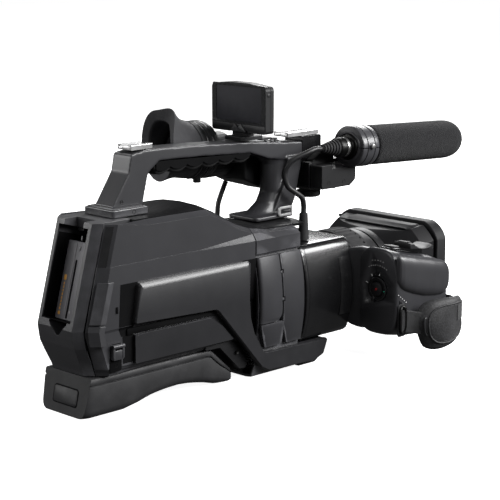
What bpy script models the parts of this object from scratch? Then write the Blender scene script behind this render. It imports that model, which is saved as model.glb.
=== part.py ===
"""Shoulder-mount camcorder, an assembly of separate pieces.

Design axes in millimetres: +X is forward along the lens, +Y is the left side, +Z is up. z = 0 is the surface
the camcorder stands on, y = 0 is the handle's centre plane, and x = 0 is just ahead of the pad's heel.
Lengths below are in millimetres and are turned into metres by MM.
"""
import math

import bmesh
import bpy
from mathutils import Matrix, Vector

MM = 0.001
X_MIDDLE, Y_MIDDLE = 240.2, -26.2   # middle of the whole object's box, where the frame's origin lies
GAP = 0.3                           # clearance between touching pieces
WALL = 2.4                          # casing wall

# Body
DECK = [(8, 172), (133, 171.2), (142, 167.4), (155, 160.6), (172, 152), (185, 146.6), (199, 144.4),
        (215, 142), (268, 141)]     # height of the top deck's edge along x
REAR = [(36, -2), (42, -4), (54, -9.5), (64, -14), (72, -15.5), (80, -16.5), (172, 8.6)]  # rear face: z, x
REAR_HALF = 24                      # half width of the flat rear face
CHAMFER = 16                        # depth of the vertical corner chamfers
SIDE = 41                           # half width of the body behind the jack housing
FRAME_END = 48                      # front end of the rear battery frame
SHELL_END = 189                     # front end of the side shells
JACKS_END = 249.4                   # front end of the jack housing
FRONT_END = 320                     # front end of the lens housing
REAR_SLOPE = math.atan2(25.1, 92)   # lean of the rear face

# Battery pack and its well, which lean with the rear face
BATTERY = (20.6, 38.4, 70.8)        # thickness, width, height
BATTERY_INSET = 14                  # depth of the pack's face behind the rear face
BATTERY_FOOT = 87                   # height of the pack's lower end

# Lens
LENS_Y, LENS_Z = -5, 72
ZOOM_RADIUS, ZOOM_FROM, ZOOM_TO = 48.5, 330.5, 358
BARREL_RADIUS = 44.5
HOOD_FROM, HOOD_STEP, HOOD_TO = 386.3, 405, 438
HOOD_HALF_WIDTH, HOOD_HALF_HEIGHT = 70, 52.5
SHUTTER_X, SHUTTER_HALF = 433, 26   # hinge line of the shutter blades, half height of the opening

# Handle and what it carries
HANDLE_HALF = 12.5
MONITOR = (10.6, 73, 47)            # thickness, width, height
MONITOR_X, MONITOR_FOOT = 210, 231.5
EVF_Y, EVF_Z, EVF_RADIUS = 48, 211, 28.5
MIC_Y, MIC_PITCH = -36, math.radians(2.5)
MIC_POINT = (345, MIC_Y, 208.8)     # a point on the microphone's axis
FOAM_RADIUS, CLAMP_RADIUS, CLAMP_BORE = 20, 20.6, 13.2
PARTING = 0.02                      # angle left open on each side of the clamp's parting line

# Grip
GRIP_INNER, GRIP_OUTER = -54.6, -107
GRIP_REAR = 321


# ---------------------------------------------------------------- scene and helpers

def collection(name, hidden=False):
    group = bpy.data.collections.new(name)
    bpy.context.scene.collection.children.link(group)
    group.hide_render = hidden
    return group


def material(name, colour, roughness, metallic=0.0):
    finish = bpy.data.materials.new(name)
    finish.use_nodes = True
    shader = finish.node_tree.nodes["Principled BSDF"]
    shader.inputs["Base Color"].default_value = (*colour, 1)
    shader.inputs["Roughness"].default_value = roughness
    shader.inputs["Metallic"].default_value = metallic
    finish.diffuse_color = (*colour, 1)
    return finish


for old in list(bpy.data.objects):
    bpy.data.objects.remove(old, do_unlink=True)
PARTS = collection("camcorder")
CUTTERS = collection("cutters", hidden=True)

ROOT = bpy.data.objects.new("camcorder_origin", None)
ROOT.location = (-X_MIDDLE * MM, -Y_MIDDLE * MM, 0)
PARTS.objects.link(ROOT)

CASE = ((0.035, 0.035, 0.038), 0.45)
DARK = ((0.012, 0.012, 0.013), 0.6)
RUBBER = ((0.02, 0.02, 0.021), 0.85)
METAL = ((0.62, 0.62, 0.6), 0.3, 1.0)
GLASS = ((0.02, 0.02, 0.03), 0.05)
FOAM = ((0.03, 0.03, 0.032), 0.95)
BOARD = ((0.02, 0.12, 0.05), 0.5)


def smooth(obj, degrees=32):
    obj.data.shade_smooth()
    obj.data.set_sharp_from_angle(angle=math.radians(degrees))


def node(name, bm, finish, pivot=(0, 0, 0), cutter=False):
    """One named piece from a bmesh in design millimetres, with its origin at the pivot."""
    bmesh.ops.recalc_face_normals(bm, faces=bm.faces[:])
    bmesh.ops.translate(bm, verts=bm.verts[:], vec=-Vector(pivot))
    bmesh.ops.scale(bm, verts=bm.verts[:], vec=(MM, MM, MM))
    mesh = bpy.data.meshes.new(name)
    bm.to_mesh(mesh)
    bm.free()
    obj = bpy.data.objects.new(name, mesh)
    obj.location = Vector(pivot) * MM
    obj.parent = ROOT
    mesh.materials.append(material(name, *finish))
    if cutter:
        CUTTERS.objects.link(obj)
        obj.hide_render = True
        obj.display_type = "WIRE"
    else:
        PARTS.objects.link(obj)
        smooth(obj)
    return obj


def bevel(obj, width, segments=2, degrees=40):
    edge = obj.modifiers.new("edges", "BEVEL")
    edge.width = width * MM
    edge.segments = segments
    edge.limit_method = "ANGLE"
    edge.angle_limit = math.radians(degrees)
    return obj


def cut(obj, *cutters, operation="DIFFERENCE"):
    for cutter in cutters:
        boolean = obj.modifiers.new(cutter.name, "BOOLEAN")
        boolean.operation = operation
        boolean.solver = "EXACT"
        boolean.object = cutter
    return obj


def fuse(obj, *others):
    return cut(obj, *others, operation="UNION")


def cube(low, high):
    bm = bmesh.new()
    bmesh.ops.create_cube(bm, size=1)
    low, high = Vector(low), Vector(high)
    bmesh.ops.scale(bm, verts=bm.verts[:], vec=high - low)
    bmesh.ops.translate(bm, verts=bm.verts[:], vec=(low + high) / 2)
    return bm


def box(name, low, high, finish=CASE, turn=None, **more):
    """A box between two corners; turn = (point, axis, angle) leans it about a line."""
    bm = cube(low, high)
    if turn:
        point, axis, angle = turn
        bmesh.ops.rotate(bm, verts=bm.verts[:], cent=point, matrix=Matrix.Rotation(angle, 3, axis))
    return node(name, bm, finish, **more)


def rod(name, start, end, radius, finish=CASE, end_radius=None, sides=24, **more):
    start, end = Vector(start), Vector(end)
    axis = end - start
    bm = bmesh.new()
    turn = axis.to_track_quat("Z", "Y").to_matrix().to_4x4()
    bmesh.ops.create_cone(bm, cap_ends=True, segments=sides, radius1=radius,
                          radius2=radius if end_radius is None else end_radius, depth=axis.length,
                          matrix=Matrix.Translation((start + end) / 2) @ turn)
    return node(name, bm, finish, **more)


def rounded(corners, steps=4):
    """Corner list (u, v, radius) to a closed outline with each corner turned as an arc."""
    points = []
    count = len(corners)
    for index, (u, v, radius) in enumerate(corners):
        here = Vector((u, v))
        if radius <= 0:
            points.append(here)
            continue
        before = (Vector(corners[index - 1][:2]) - here).normalized()
        after = (Vector(corners[(index + 1) % count][:2]) - here).normalized()
        half = before.angle(after) / 2
        centre = here + (before + after).normalized() * radius / math.sin(half)
        first = here + before * radius / math.tan(half) - centre
        last = here + after * radius / math.tan(half) - centre
        start = math.atan2(first.y, first.x)
        sweep = (math.atan2(last.y, last.x) - start + math.pi) % math.tau - math.pi
        for step in range(steps + 1):
            angle = start + sweep * step / steps
            points.append(centre + Vector((math.cos(angle), math.sin(angle))) * radius)
    return points


def slab(name, corners, axis, low, high, finish=CASE, steps=4, **more):
    """A flat outline of (u, v, radius) corners, thickened along an axis from low to high.

    (u, v) are (x, z) for axis "y", (y, z) for axis "x" and (x, y) for axis "z".
    """
    curve = bpy.data.curves.new(name, "CURVE")
    curve.dimensions = "2D"
    curve.fill_mode = "BOTH"
    curve.extrude = (high - low) / 2
    outline = rounded(corners, steps)
    spline = curve.splines.new("POLY")
    spline.points.add(len(outline) - 1)
    for point, (u, v) in zip(spline.points, outline):
        point.co = (u, v, 0, 1)
    spline.use_cyclic_u = True
    flat = bpy.data.objects.new(name, curve)
    bpy.context.scene.collection.objects.link(flat)
    bpy.context.view_layer.update()
    mesh = bpy.data.meshes.new_from_object(flat.evaluated_get(bpy.context.evaluated_depsgraph_get()))
    bpy.data.objects.remove(flat, do_unlink=True)
    middle = (low + high) / 2
    turns = {
        "x": Matrix(((0, 0, 1, middle), (1, 0, 0, 0), (0, 1, 0, 0), (0, 0, 0, 1))),
        "y": Matrix(((1, 0, 0, 0), (0, 0, -1, middle), (0, 1, 0, 0), (0, 0, 0, 1))),
        "z": Matrix.Translation((0, 0, middle)),
    }
    bm = bmesh.new()
    bm.from_mesh(mesh)
    bpy.data.meshes.remove(mesh)
    bmesh.ops.remove_doubles(bm, verts=bm.verts[:], dist=0.001)
    bmesh.ops.transform(bm, matrix=turns[axis], verts=bm.verts[:])
    return node(name, bm, finish, **more)


def loft(name, rings, finish=CASE, hollow=False, **more):
    """Skin over rings of equal count; hollow joins the last ring to the first, so a hole runs through."""
    bm = bmesh.new()
    rows = [[bm.verts.new(point) for point in ring] for ring in rings]
    pairs = list(zip(rows, rows[1:]))
    if hollow:
        pairs.append((rows[-1], rows[0]))
    for near, far in pairs:
        for k in range(len(near)):
            j = (k + 1) % len(near)
            bm.faces.new((near[k], near[j], far[j], far[k]))
    if not hollow:
        bm.faces.new(rows[0][::-1])
        bm.faces.new(rows[-1])
    return node(name, bm, finish, **more)


def oval(x, y, z, half_width, half_height, power=2.0, count=32, x_offset=None):
    """A superellipse ring in the plane of constant x; x_offset(angle) can push points fore and aft."""
    ring = []
    for k in range(count):
        angle = math.tau * k / count
        c, s = math.cos(angle), math.sin(angle)
        dx = x_offset(angle) if x_offset else 0
        ring.append((x + dx, y + half_width * math.copysign(abs(c) ** (2 / power), c),
                     z + half_height * math.copysign(abs(s) ** (2 / power), s)))
    return ring


def turned(name, profile, origin, direction, finish=CASE, steps=32, closed=False):
    """A turned piece: (radius, height) profile, its outer side run top to bottom, along a direction."""
    bm = bmesh.new()
    verts = [bm.verts.new((radius * MM, 0, height * MM)) for radius, height in profile]
    for first, second in zip(verts, verts[1:]):
        bm.edges.new((first, second))
    if closed:
        bm.edges.new((verts[-1], verts[0]))
    mesh = bpy.data.meshes.new(name)
    bm.to_mesh(mesh)
    bm.free()
    obj = bpy.data.objects.new(name, mesh)
    PARTS.objects.link(obj)
    obj.parent = ROOT
    obj.location = Vector(origin) * MM
    obj.rotation_euler = Vector(direction).to_track_quat("Z", "Y").to_euler()
    screw = obj.modifiers.new("turn", "SCREW")
    screw.axis = "Z"
    screw.steps = screw.render_steps = steps
    screw.use_merge_vertices = True
    screw.merge_threshold = 0.00001
    mesh.materials.append(material(name, *finish))
    return obj


def tube(name, route, diameter, finish=RUBBER, per_span=4):
    """A round cord through the route's points, on a smooth curve read off as short straight runs."""
    path = [Vector(p) for p in route]
    ends = [path[0] * 2 - path[1]] + path + [path[-1] * 2 - path[-2]]
    points = []
    for k in range(1, len(ends) - 2):
        a, b, c, d = ends[k - 1:k + 3]
        for step in range(per_span):
            t = step / per_span
            points.append(0.5 * (2 * b + (c - a) * t + (2 * a - 5 * b + 4 * c - d) * t ** 2
                                 + (3 * b - a - 3 * c + d) * t ** 3))
    points.append(path[-1])
    curve = bpy.data.curves.new(name, "CURVE")
    curve.dimensions = "3D"
    curve.bevel_depth = diameter / 2 * MM
    curve.bevel_resolution = 2
    curve.use_fill_caps = True
    spline = curve.splines.new("POLY")
    spline.points.add(len(points) - 1)
    for point, co in zip(spline.points, points):
        point.co = (*(co * MM), 1)
    curve.materials.append(material(name, *finish))
    obj = bpy.data.objects.new(name, curve)
    PARTS.objects.link(obj)
    obj.parent = ROOT
    return obj


def along(table, value):
    """Straight-line reading of a table of (position, height) pairs."""
    for (a, low), (b, high) in zip(table, table[1:]):
        if value <= b:
            return low + (high - low) * (value - a) / (b - a)
    return table[-1][1]


def leaned(x, y, z):
    """A point given as if the rear face were upright at x = 0, leaned with the real face."""
    foot = along(REAR, BATTERY_FOOT)
    dz = z - BATTERY_FOOT
    return (foot + x * math.cos(REAR_SLOPE) + dz * math.sin(REAR_SLOPE), y,
            BATTERY_FOOT - x * math.sin(REAR_SLOPE) + dz * math.cos(REAR_SLOPE))


def leaned_box(name, low, high, finish=CASE, **more):
    """A box given against the upright rear face, leaned with it."""
    bm = cube(low, high)
    for vert in bm.verts:
        vert.co = leaned(*vert.co)
    return node(name, bm, finish, **more)


# ---------------------------------------------------------------- body casings

def rear_half(z):
    """Half width of the flat rear face, which narrows towards the shoulder pad."""
    return REAR_HALF - max(0, 60 - z) * 0.12


def rear_frame():
    rings = []
    for z in (37.2, 42, 54, 64, 72, 80, 172):
        x = along(REAR, z)
        half = rear_half(z)
        rings.append([(x, half, z), (x, -half, z), (x + 7.2, -half - 7.2, z), (x + 10, -half - 4.4, z),
                      (FRAME_END, -half - 4.4, z), (FRAME_END, half + 4.4, z), (x + 10, half + 4.4, z),
                      (x + 7.2, half + 7.2, z)])
    frame = loft("rear_frame", rings)
    half_well = BATTERY[1] / 2 + 0.7
    depth = BATTERY_INSET + BATTERY[0] + 2.5
    well = leaned_box("battery_well", (-8, -half_well, BATTERY_FOOT - 0.8), (depth, half_well, 170), cutter=True)
    arch = box("battery_arch", (-20, -13, 150), (22, 13, 190), cutter=True)
    notch = slab("finger_notch", [(-15, 90, 0), (-15, 84, 0), (-3, 72, 3), (9, 84, 0), (9, 90, 0)], "x",
                 -40, 2, cutter=True)
    core = box("frame_core", (31, -24, 32), (60, 24, 80), cutter=True)
    return cut(frame, well, arch, notch, core)


def side_section(x):
    """Half section of the side shell: outward y, z, and how the inner skin is offset."""
    top = along(DECK, x)
    flare = max(0.0, (x - 121) / 74)
    crease = min(135 + 6 * flare, top - 5.4)
    return [(34.4, top - 0.7, -1.6, -1.9), (40, top - 5.2, -WALL, -1.4), (40, crease, -WALL, 0),
            (40.6 + 3.5 * flare, 134.5, -WALL, 0), (SIDE + 3 * flare, 118, -WALL, 0), (SIDE, 79.5, -WALL, 0),
            (39, 77, -WALL, 0), (39, 44, -WALL, 0), (36.5, 41, -2, 1.2), (32.4, 37.4, -1.5, 2),
            (27.5, 37.2, 0, 2.2)]


def side_shell(name, side):
    rings = []
    for station in ("facet", "corner", 60, 100, 121, 133, 142, 155, 172, SHELL_END):
        outer, inner = [], []
        at_rear = isinstance(station, str)
        for y, z, dy, dz in side_section(24 if at_rear else station):
            if at_rear:
                y = max(y, rear_half(z) + CHAMFER)
            if station == "facet":
                x, back, dx, dy = along(REAR, z) + 7.7, CHAMFER - 7.7, 1.7, -1.7
            elif station == "corner":
                x, back, dx = along(REAR, z) + CHAMFER, 0, 1.0
            else:
                x, back, dx = station, 0, 0
            outer.append((x, side * (y - back), z))
            inner.append((x + dx, side * (y - back + dy), z + dz))
        rings.append(outer + inner[::-1])
    return loft(name, rings)


def top_deck():
    rings = []
    for x in (FRAME_END + GAP, 90, 133, 142, 155, 172, 185, 199, 215, 266.6):
        top = along(DECK, x)
        arch = min(1, max(0, (x - 90) / 40))
        crown = [(-34, 0), (-22, 2), (0, 3), (22, 2), (34, 0)]
        rings.append([(x, y, top + rise * arch) for y, rise in crown]
                     + [(x, y, top - 3) for y in (31.4, 0, -31.4)])
    return loft("top_deck", rings)


def sleeve(name, stations, section, inset=2.6):
    """A casing open at both ends: outer rings forward, then inner rings back."""
    outer = [[(x, y, z) for y, z in section(x)] for x in stations]
    inner = []
    for ring in reversed(outer):
        middle = sum((Vector(p) for p in ring), Vector()) / len(ring)
        inner.append([Vector(p) + (middle - Vector(p)).normalized() * inset for p in ring])
    return loft(name, outer + inner, hollow=True)


def bulge(z):
    """Half width of the housing's right side, which swells around the lens's height."""
    return 47.2 - 5.7 * ((z - LENS_Z) / 45) ** 2


def jack_section(x):
    top = along(DECK, x)
    right = [(-31, top - 3.5), (-34.4, top - 0.7), (-40, min(140.8, top - 3)), (-44.5, 134.5), (-44.5, 121.5)]
    right += [(-bulge(z), z) for z in (119.5, 97, 72, 50, 28)]
    right += [(-41, 12), (-37, 1), (-30, 0)]
    left = [(30, 0), (37, 1), (41, 12), (42, 30), (43, 72), (44, 97), (44.5, 121.5), (44.5, 134.5),
            (40, min(140.8, top - 3)), (34.4, top - 0.7), (31, top - 3.5)]
    return right + left


def lens_section(_x):
    shape = [(29, 49), (35, 47.5), (39.5, 42), (44, 25), (47, 0), (44.5, -24), (39.5, -42), (35, -46.5),
             (25, -48)]
    right = [(LENS_Y - dy, LENS_Z + dz) for dy, dz in shape]
    left = [(LENS_Y + dy, LENS_Z + dz) for dy, dz in reversed(shape)]
    return right + left


def bulge_strip(name, x_from, x_to, heights, inner_gap, thickness, finish=CASE, **more):
    """A cover that follows the bulged side of the jack housing; its rear edge runs forward low down."""
    rings = []
    for z in heights:
        depth = bulge(z) + inner_gap
        rear = x_from + max(0, 50 - z) * 0.42
        rings.append([(rear, -depth, z), (x_to, -depth, z), (x_to, -depth - thickness, z),
                      (rear, -depth - thickness, z)])
    return loft(name, rings, finish, **more)


def shoulder_pad():
    outline = [(-10, 0, 9), (36, 0, 8), (62, 5.5, 14), (104, 9, 18), (136, 5, 14), (150, 0, 9), (168, 0, 7),
               (171, 9, 5), (141, 36.5, 9), (-2, 36.5, 2)]
    pad = slab("shoulder_pad", outline, "y", -32, 32, RUBBER, steps=3)
    heel = slab("pad_plan", [(-14, -32.5, 14), (180, -32.5, 10), (180, 32.5, 10), (-14, 32.5, 14)], "z",
                -5, 45, cutter=True)
    label = box("label_recess", (-20, -19, 8), (-8.7, 17, 24), cutter=True)
    return cut(cut(pad, heel, operation="INTERSECT"), label)


def body():
    rear_frame()
    side_shell("right_side_shell", -1)
    side_shell("left_side_shell", 1)
    top_deck()
    housing = sleeve("jack_housing", (SHELL_END + 0.7, 199, 215, JACKS_END), jack_section)
    plate = bulge_strip("jack_side_plate", 220.2, 248.6, (29.6, 42, 54, 62, 72, 84, 96, 108, 118), -0.6, 4.6,
                        cutter=True)
    corner = bulge_strip("jack_lower_plate", 190.6, 222, (29.7, 42, 53.2), -0.6, 4.59, cutter=True)
    gland = rod("viewfinder_cable_gland", (227.5, 48.2, 133.6), (227.5, 48.2, 122), 3.6, end_radius=4.6,
                sides=16, cutter=True)
    fuse(housing, plate, corner, gland)
    sleeve("lens_housing", (JACKS_END + 0.8, 285, FRONT_END), lens_section)
    shoulder_pad()
    panel = [(43.4, 117, 2), (181, 117, 4), (187.5, 108, 4), (188.2, 46.5, 3), (197, 31, 3), (199, 26.6, 1),
             (289.6, 23.4, 2), (283, 8, 2), (270, 3, 2), (204, 6, 3), (196, 11, 3),
             (137, 77, 9), (37, 81, 1)]
    bevel(slab("side_panel", panel, "y", -46.5, -44.8, steps=3), 0.6, 1)
    belly = [(FRAME_END + GAP, 37.4, 0), (142.2, 37.4, 2), (172.4, 9.8, 3), (181, 4, 4), (188.4, 3, 1),
             (188.4, 40.2, 0), (FRAME_END + GAP, 40.2, 0)]
    slab("bottom_tray", belly, "y", -27, 27, steps=2)
    keel = [(249.9, 0, 3), (276, 0, 3), (288, 7, 2), (289.5, 22.6, 1), (249.9, 22.6, 1)]
    slab("front_keel", keel, "y", -40, 36, steps=2)


def battery():
    thick, wide, high = BATTERY
    foot = BATTERY_FOOT
    leaned_box("battery", (BATTERY_INSET, -wide / 2, foot), (BATTERY_INSET + thick, wide / 2, foot + high - 0.4))
    leaned_box("battery_terminal", (BATTERY_INSET + thick + 0.5, -16, foot + 4),
               (BATTERY_INSET + thick + 2.2, 16, foot + 30), METAL)
    leaned_box("battery_release", (BATTERY_INSET + 5, 8, foot + high + 9.2),
               (BATTERY_INSET + 13, 16, foot + high + 12), DARK)


# ---------------------------------------------------------------- covers and controls on the body

def covers():
    flap = [(40, 70.5, 1), (132, 70.5, 6), (147, 60, 4), (162, 44.4, 1), (40, 44.4, 1)]
    bevel(slab("av_jack_cover", flap, "y", -42.6, -39.4, steps=3, pivot=(100, -39.6, 44.4)), 0.5, 1)
    bulge_strip("digital_jack_cover", 190.6, 219, (54, 62, 72, 84, 96, 108, 118), 0.6, 3.4,
                pivot=(190.6, -51.8, 86))
    corner_cover("dc_in_cover", (86.5, 122))
    corner_cover("phones_cover", (67, 72, 80, 84.6))


def corner_cover(name, heights):
    """A thin cover bent round the rear right corner, from the chamfer onto the side."""
    run = Vector((1, -1)).normalized()
    facing = Vector((-1, -1)).normalized()
    bisector = (facing + Vector((0, -1))).normalized()
    rings = []
    for z in heights:
        corner = Vector((along(REAR, z) + CHAMFER, -SIDE))
        layers = []
        for off in (0.8, 2.2):
            layers.append([corner - run * 9 + facing * off, corner + bisector * off / math.cos(math.pi / 8),
                           corner + Vector((5, -off))])
        rings.append([(x, y, z) for x, y in layers[0] + layers[1][::-1]])
    hinge_x = along(REAR, heights[0]) + CHAMFER + 5
    loft(name, rings, pivot=(hinge_x, -SIDE - 1, heights[0]))


def left_controls():
    slab("card_door", [(86, 128, 2), (134, 128, 2), (134, 92, 2), (86, 92, 2)], "y", 41.7, 44.2,
         pivot=(86.5, 42, 110))
    rod("control_dial", (160, 45, 112), (160, 50, 112), 9, DARK)


# ---------------------------------------------------------------- handle and shoes

def handle():
    outline = [(41, 179.2, 1), (61, 209, 5), (64.5, 225.4, 3), (84, 228, 12), (148, 226, 0), (213, 222.5, 0),
               (262, 217.6, 6), (286, 216.5, 3), (286, 202, 3), (262, 201, 6), (240, 204, 10),
               (214, 212.2, 12), (148, 215.5, 0), (98, 217, 7), (84, 207, 10), (77, 179.2, 1)]
    bar = bevel(slab("handle", outline, "y", -HANDLE_HALF, HANDLE_HALF, steps=3), 2.2, 2)
    plate = slab("handle_front_plate", [(214, -20, 4), (267, -20, 4), (267, 20, 4), (214, 20, 4)], "z", 145.7,
                 149.6, steps=2, cutter=True)
    post = []
    for z, x, half_x, half_y in ((148.6, 243, 25, 15), (152, 246, 21, 13.5), (160, 252, 15, 11.5),
                                 (170, 254, 11.5, 10.5), (186, 255, 12, 10.5), (198, 258, 15, 11),
                                 (206, 255, 21, 11.5), (214, 252, 26, 11.5)):
        post.append([(x + half_x * math.cos(math.tau * k / 24), half_y * math.sin(math.tau * k / 24), z)
                     for k in range(24)])
    web = slab("handle_web", [(242, 149, 0), (266.5, 149, 0), (274, 163, 12), (279, 184, 12), (284, 203, 0),
                              (263, 203, 0), (262, 184, 12), (253, 168, 10)], "y", -14.8, 12.9, steps=2,
               cutter=True)
    fuse(bar, plate, loft("handle_post", post, cutter=True), web)
    grip = [(90, 207.6, 0), (100, 214.8, 4), (148, 213.3, 0), (205, 210.5, 2), (220, 206, 0)]
    scallops = [(216 - 15.5 * k, 205.4 if k % 2 else 202, 2) for k in range(9)]
    slab("handle_grip", grip + scallops, "y", -10.5, 10.5, RUBBER, steps=2)
    slab("handle_rear_foot", [(35.6, -20, 2), (77.4, -20, 2), (77.4, 20, 2), (35.6, 20, 2)], "z",
                172.3, 178.9, steps=2)
    for name, x_from, x_to, height in (("rear_shoe", 67, 92, 228.4), ("front_shoe", 268, 312, 221.6)):
        right = [(9.5, height, 0), (9.5, height + 4.6, 0.6), (5, height + 4.6, 0), (5, height + 3.4, 0),
                 (8, height + 3.4, 0), (8, height + 1.4, 0), (4.6, height + 1.4, 0), (4.6, height + 1.7, 0)]
        base = right + [(-y, z, radius) for y, z, radius in reversed(right)]
        slab(name, base, "x", x_from, x_to, METAL, steps=2)
    box("handle_zoom_rocker", (235, -6, 221.3), (249, 5, 223.6), DARK, pivot=(242, 0, 221.3))
    rod("handle_record_button", (257, -1, 219), (257, -1, 221.8), 3.8, DARK, sides=16)
    ring = slab("strap_ring", [(243, 147.9, 2), (262, 147.9, 2), (262, 157, 2), (243, 157, 2)], "y",
                -22.4, -20.6, METAL, steps=2)
    hole = slab("strap_ring_hole", [(245.4, 150, 1), (259.6, 150, 1), (259.6, 154.8, 1), (245.4, 154.8, 1)],
                "y", -25, -18, steps=2, cutter=True)
    cut(ring, hole)


# ---------------------------------------------------------------- monitor and viewfinder

def monitor():
    thick, wide, high = MONITOR
    top = MONITOR_FOOT + high
    hinge = slab("monitor_hinge", [(203, -13, 3), (231, -13, 3), (231, 13, 3), (203, 13, 3)], "z", 224, 227.6,
                 steps=2, pivot=(216, 0, 225))
    knuckle = rod("monitor_knuckle", (216, -11.4, 233.4), (216, 11.4, 233.4), 3.4, sides=16, cutter=True)
    neck = box("monitor_neck", (212.8, -11.4, 226), (219.2, 11.4, 233.4), cutter=True)
    fuse(hinge, knuckle, neck)
    case = slab("monitor_case", [(-wide / 2, MONITOR_FOOT, 3), (wide / 2, MONITOR_FOOT, 3),
                                 (wide / 2, top - 2.5, 4), (14, top, 20), (-14, top, 20),
                                 (-wide / 2, top - 2.5, 4)],
                "x", MONITOR_X, MONITOR_X + thick, pivot=(216, 0, 233.4))
    bevel(case, 1.2, 1)
    fork = box("monitor_fork", (200, -11.8, 228), (240, 11.8, 237.6), cutter=True)
    glass_well = box("monitor_well", (205, -30.6, 241), (MONITOR_X + 0.8, 30.6, 275.4), cutter=True)
    cut(case, fork, glass_well)


def viewfinder():
    base = slab("viewfinder_base", [(232, 222, 4), (256, 216, 6), (286, 192, 6), (286, 162, 4), (276, 166, 3),
                                    (250, 173, 3), (232, 181, 4)], "y", 13.4, 62, steps=2)
    bevel(base, 2)
    radius = EVF_RADIUS
    barrel = turned("viewfinder_barrel", [(0, 1), (radius - 6, 1), (radius - 1, -2), (radius, -6),
                                          (radius, -14), (radius - 1, -15), (radius - 1, -21),
                                          (radius - 6, -21), (radius - 6, -8), (0, -8)],
                    (208, EVF_Y, EVF_Z), (1, 0, 0), steps=36)
    neck = [oval(x, EVF_Y, EVF_Z - 7, half, half) for x, half in ((206, 22), (231.5, 22), (231.5, 10.6),
                                                                  (206, 10.6))]
    fuse(barrel, loft("viewfinder_neck", neck, hollow=True, cutter=True))
    fuse(base, rod("viewfinder_rail", (213, EVF_Y, EVF_Z - 7), (238, EVF_Y, EVF_Z - 7), 10, cutter=True))
    rod("dioptre_lever", (200, EVF_Y, EVF_Z - radius - 0.3), (200, EVF_Y, EVF_Z - radius - 4), 4, DARK,
        sides=12, pivot=(200, EVF_Y, EVF_Z))

    def cup_ring(x, middle, half, sweep, ear):
        """One oval of the eyecup: swept back on the side of the nose, with an ear at the top."""
        ring = []
        for k in range(36):
            angle = math.tau * k / 36
            lift = ear * max(0, math.cos(angle - math.radians(127))) ** 8
            ring.append((x + sweep * math.cos(angle) + lift, EVF_Y + half * math.cos(angle),
                         middle + (half + lift) * math.sin(angle)))
        return ring

    rings = [cup_ring(*row) for row in ((186.2, EVF_Z + 1, 28, 0, 0), (176, EVF_Z + 3, 28.6, 1, 1),
                                        (163, EVF_Z + 6, 29.6, 5, 3), (149, EVF_Z + 8, 34, 10, 9),
                                        (150.4, EVF_Z + 8, 31.6, 10, 8.4), (163, EVF_Z + 6, 27, 5, 2.6),
                                        (176, EVF_Z + 3, 25.6, 1, 0.8), (186.2, EVF_Z + 1, 24.6, 0, 0))]
    loft("eyecup", rings, RUBBER, hollow=True)
    tube("viewfinder_cable", [(240, 48.6, 175), (235, 48.6, 166), (229.4, 48.5, 154), (228, 48.3, 144),
                              (227.5, 48.2, 134)], 5)


# ---------------------------------------------------------------- microphone and its XLR adaptor

def xlr_adaptor():
    case = bevel(slab("xlr_box", [(287, 168.4, 3), (326, 166, 4), (336, 172, 4), (336, 196.4, 3),
                                  (287, 196.4, 3)], "y", -20.3, 18, steps=2), 1.2, 1)
    block = slab("shoe_block", [(286.5, 190, 1), (313, 190, 2), (313, 221.2, 2), (286.5, 221.2, 1)], "y", -12,
                 12, steps=2, cutter=True)
    fuse(case, block)
    for x in (300, 319):
        cut(case, rod("xlr_socket", (x, 20, 181), (x, 8.5, 181), 7.4, cutter=True, sides=20))
    turned("level_knob", [(0, 0), (12, 0), (12, -4.6), (10.5, -6), (0, -6)], (302, -6, 165.8), (0, 0, 1),
           DARK, 28)
    outline = [(289, 170.4, 1), (330, 170.4, 3), (338.6, 176, 4), (338.6, 193.4, 1), (289, 193.4, 1)]
    bracket = bevel(slab("mic_bracket", outline, "y", -36, -20.9, steps=2), 0.5, 1)
    saddle = rod("clamp_saddle", mic_frame(-40), mic_frame(30), CLAMP_RADIUS + 0.4, cutter=True, sides=40)
    cut(bracket, saddle)
    cut(case, saddle)


def mic_frame(along_axis, across=0.0, up=0.0):
    """A point given along, across and above the microphone's axis, from MIC_POINT."""
    c, s = math.cos(MIC_PITCH), math.sin(MIC_PITCH)
    return (MIC_POINT[0] + along_axis * c + up * s, MIC_Y + across, MIC_POINT[2] - along_axis * s + up * c)


def microphone():
    forward = Vector(mic_frame(1)) - Vector(mic_frame(0))
    clamp_half("mic_clamp_base", forward, start=math.pi)
    clamp_half("mic_clamp_lid", forward, start=0.0)
    turned("microphone_tube", [(0, 66), (12.8, 66), (12.8, -20), (11.4, -22), (0, -22)], mic_frame(0), forward,
           DARK, 28)
    turned("microphone_foam", [(0, 152), (8, 151), (14.5, 147), (18.6, 140), (FOAM_RADIUS, 130),
                               (FOAM_RADIUS, 8.4), (CLAMP_BORE, 8.4), (CLAMP_BORE, 66.4), (0, 66.4)], mic_frame(0),
           forward, FOAM, 32)
    turned("xlr_plug", [(0, -22.4), (9.6, -22.4), (9.6, -36), (8.2, -38), (6.4, -46), (4.2, -58), (0, -58)],
           mic_frame(0), forward, METAL, 24)
    tube("microphone_cable", [mic_frame(-58.4), mic_frame(-66), (270, -34.5, 209), (256, -27, 202),
                              (250, -22.5, 190), (254, -22.8, 177), (262, -25.5, 170), (270, -27, 164),
                              (272.5, -27, 156), (272.5, -27, 148.6)], 5.4)
    rod("microphone_cable_boot", (272.5, -27, 148.3), (272.5, -27, 122), 4.2, RUBBER, end_radius=5.4, sides=16)


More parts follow.
